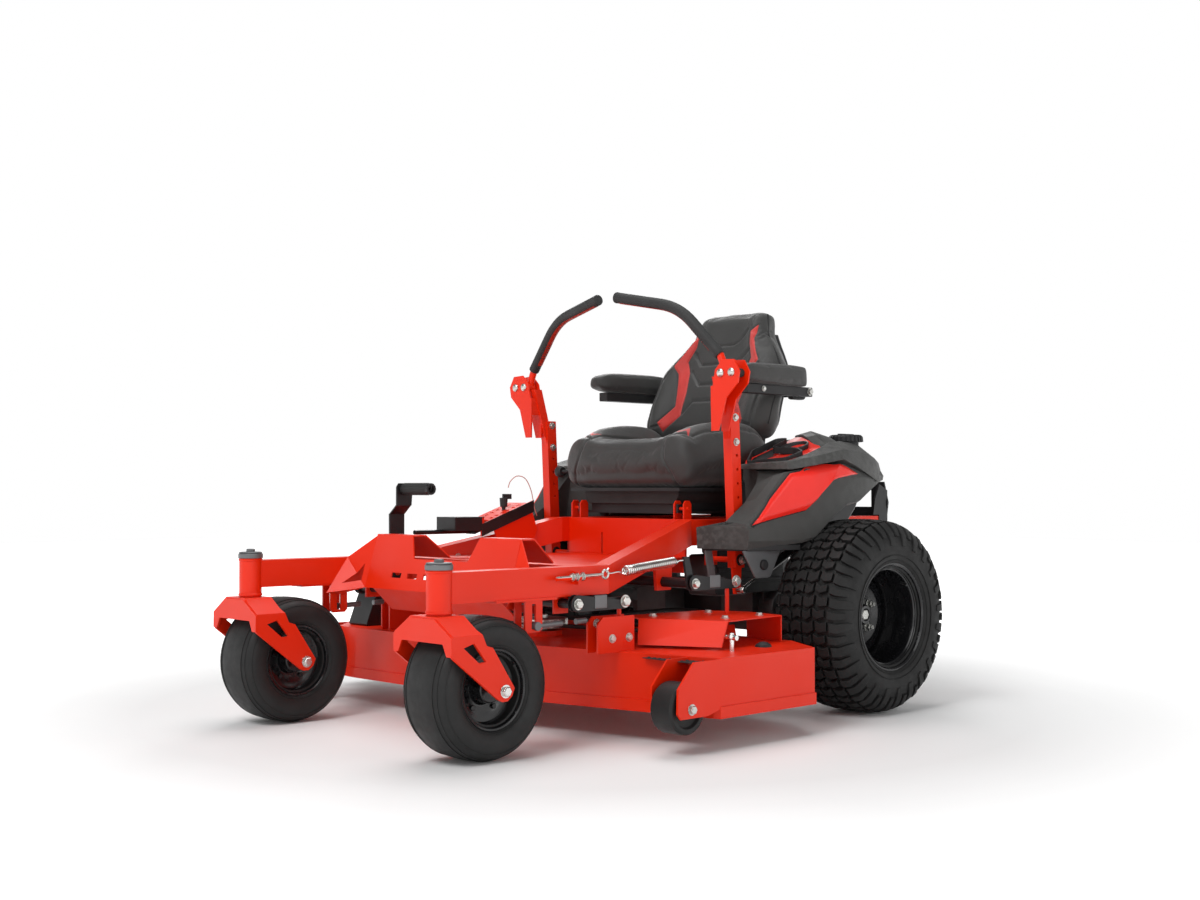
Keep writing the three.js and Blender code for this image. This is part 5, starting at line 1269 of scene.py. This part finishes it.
piece("frame_bolts", head, "zinc", "chassis", bevel=0.0005)


# ---------------------------------------------------------------- tanks, pumps and lift arms
def under_side(side, q):
    tank = Shape().plate("x", rounded([(1.215, 0.560), (1.300, 0.500), (1.560, 0.500), (1.660, 0.600), (1.660, 0.690),
                                       (1.240, 0.690)], 0.030), 0.286, 0.400)
    piece(f"side_tank_{side}", tank, "black", "chassis", side=q, bevel=0.012)
    pump = Shape().block((0.165, 1.130, 0.330), (0.285, 1.270, 0.450))
    pump.rod((0.225, 1.200, 0.450), (0.225, 1.200, 0.500), 0.050, 32)
    piece(f"drive_pump_{side}", pump, "cast", "chassis", side=q, bevel=0.008)
    fan = Shape().turned([(0.0005, 0.500), (0.068, 0.500), (0.074, 0.506), (0.074, 0.520), (0.0005, 0.524)],
                         (0.225, 1.200, 0), "z", 40)
    piece(f"pump_fan_{side}", fan, "dark_plastic", "chassis", side=q, bevel=0.001)
    liner = Shape().plate("x", rounded([(1.112, 0.335), (1.420, 0.335), (1.420, 0.505), (1.112, 0.550)], 0.010),
                          0.289, 0.295)
    for k in range(4):
        z = 0.372 + k * 0.036
        liner.block((0.294, 1.120, z - 0.006), (0.301, 1.410, z + 0.006))
    piece(f"inner_liner_{side}", liner, "dark_plastic", "chassis", side=q, bevel=0.002)
    for name, body, (y, z) in (("front", "lift_front", LIFT_PIVOT["front"]), ("rear", "lift_rear", LIFT_PIVOT["rear"])):
        arm = Shape()
        for x in (0.4555, 0.4700):
            ends = [(y + math.cos(t) * 0.0215, z + 0.002 + math.sin(t) * 0.0215)
                    for t in (math.pi * (0.5 + i / 10) for i in range(11))]
            ends += [(y + 0.165 + math.sin(t) * 0.0110, z - 0.008 - math.cos(t) * 0.0110)
                     for t in (math.pi * i / 10 for i in range(11))]
            arm.plate("x", ends, x, x + 0.0035)
        piece(f"lift_arm_{name}_{side}", arm, "black", body, side=q, bevel=0.0008)
        block = Shape().block((0.4700, y + 0.058, z - 0.0140), (0.4752, y + 0.100, z + 0.0200))
        piece(f"lift_arm_block_{name}_{side}", block, "grey_steel", body, side=q, bevel=0.002)
        pins = Shape().bolt((0.4735, y, z), (1, 0, 0), 0.0100, 0.008)
        pins.bolt((0.4735, y + 0.165, z), (1, 0, 0), 0.0115, 0.009)
        piece(f"lift_arm_bolts_{name}_{side}", pins, "zinc", body, side=q, bevel=0.0006)


LIFT_PIVOT = {name: (PIVOT[f"lift_{name}_turn"] - ORIGIN).yz for name in ("front", "rear")}
for side, q in SIDES:
    under_side(side, q)
guard = Shape().plate("x", rounded([(0.480, 0.228), (0.640, 0.228), (0.640, 0.330), (0.520, 0.330)], 0.012),
                      -0.655, -0.560)
piece("deck_guard_right", guard, "black", "deck", bevel=0.004)


# ---------------------------------------------------------------- black cover of the height plate
PLATE_RISE = math.tan(math.radians(19))


def plate_top(y):
    """Height of the sloping height-of-cut plate."""
    return 0.551 + (y - 0.732) * PLATE_RISE


cover = Shape().plate("x", [(0.690, plate_top(0.690) - 0.034), (0.896, plate_top(0.896) - 0.034),
                            (0.896, plate_top(0.896) + 0.003), (0.690, plate_top(0.690) + 0.003)], -0.2655, -0.2630)
cover.block((-0.3515, 0.5885, 0.5592), (-0.2630, 0.7000, 0.5612))
cover.block((-0.2655, 0.5885, 0.5200), (-0.2630, 0.6900, 0.5592))
cover.block((-0.3515, 0.5870, 0.5200), (-0.2630, 0.5890, 0.5612))
piece("height_plate_cover", cover, "black", "chassis", bevel=0.0006)
shield = Shape().plate("y", rounded([(-0.150, 0.245), (0.150, 0.245), (0.175, 0.280), (0.175, 0.360), (-0.175, 0.360),
                                     (-0.175, 0.280)], 0.020), 1.420, 1.600)
piece("belly_shield", shield, "black", "chassis", bevel=0.006)


# ---------------------------------------------------------------- floor, light and camera
def stage():
    floor = bpy.data.meshes.new("floor")
    floor.from_pydata([(-14, -14, 0), (14, -14, 0), (14, 14, 0), (-14, 14, 0)], [], [(0, 1, 2, 3)])
    floor.materials.append(M["floor"])
    obj = bpy.data.objects.new("floor", floor)
    bpy.context.scene.collection.objects.link(obj)
    for name, at, aim, size, power in (
            ("key", (1.0, -4.2, 4.8), (0, 0, 0.3), 2.6, 165),
            ("fill", (5.2, 0.2, 2.6), (0, 0, 0.4), 3.0, 42),
            ("top", (-0.6, 0.4, 5.2), (0, 0, 0.4), 4.0, 120),
            ("rim", (-3.6, 3.4, 3.0), (0, 0, 0.6), 2.4, 70)):
        lamp = bpy.data.lights.new(name, "AREA")
        lamp.shape, lamp.size, lamp.energy = "DISK", size, power
        light = bpy.data.objects.new(name, lamp)
        light.location = at
        light.rotation_euler = (Vector(aim) - Vector(at)).to_track_quat("-Z", "Y").to_euler()
        bpy.context.scene.collection.objects.link(light)
    world = bpy.data.worlds.new("studio")
    world.use_nodes = True
    tree = world.node_tree
    sky = tree.nodes["Background"]
    sky.inputs["Color"].default_value = (1.0, 1.0, 1.0, 1)
    # White up to the height that the camera sees, then a dim sky, so that the lamps shape the object
    height = tree.nodes.new("ShaderNodeSeparateXYZ")
    tree.links.new(tree.nodes.new("ShaderNodeTexCoord").outputs["Generated"], height.inputs[0])
    fall = tree.nodes.new("ShaderNodeMapRange")
    tree.links.new(height.outputs["Z"], fall.inputs["Value"])
    for socket, value in (("From Min", 0.34), ("From Max", 0.40), ("To Min", 1.0), ("To Max", 0.16)):
        fall.inputs[socket].default_value = value
    tree.links.new(fall.outputs["Result"], sky.inputs["Strength"])
    scene = bpy.context.scene
    scene.world = world
    scene.view_settings.view_transform = "Standard"
    scene.view_settings.look = "None"
    lens = bpy.data.cameras.new("camera")
    lens.lens, lens.sensor_width = 45.13, 36.0
    camera = bpy.data.objects.new("camera", lens)
    turn, rise = math.radians(46.217), math.radians(1.466)
    look = Vector((-math.sin(turn) * math.cos(rise), math.cos(turn) * math.cos(rise), math.sin(rise)))
    camera.location = ORIGIN + Vector((3.2287, -2.1691, 0.6456))
    camera.rotation_euler = look.to_track_quat("-Z", "Y").to_euler()
    scene.collection.objects.link(camera)
    scene.camera = camera


stage()
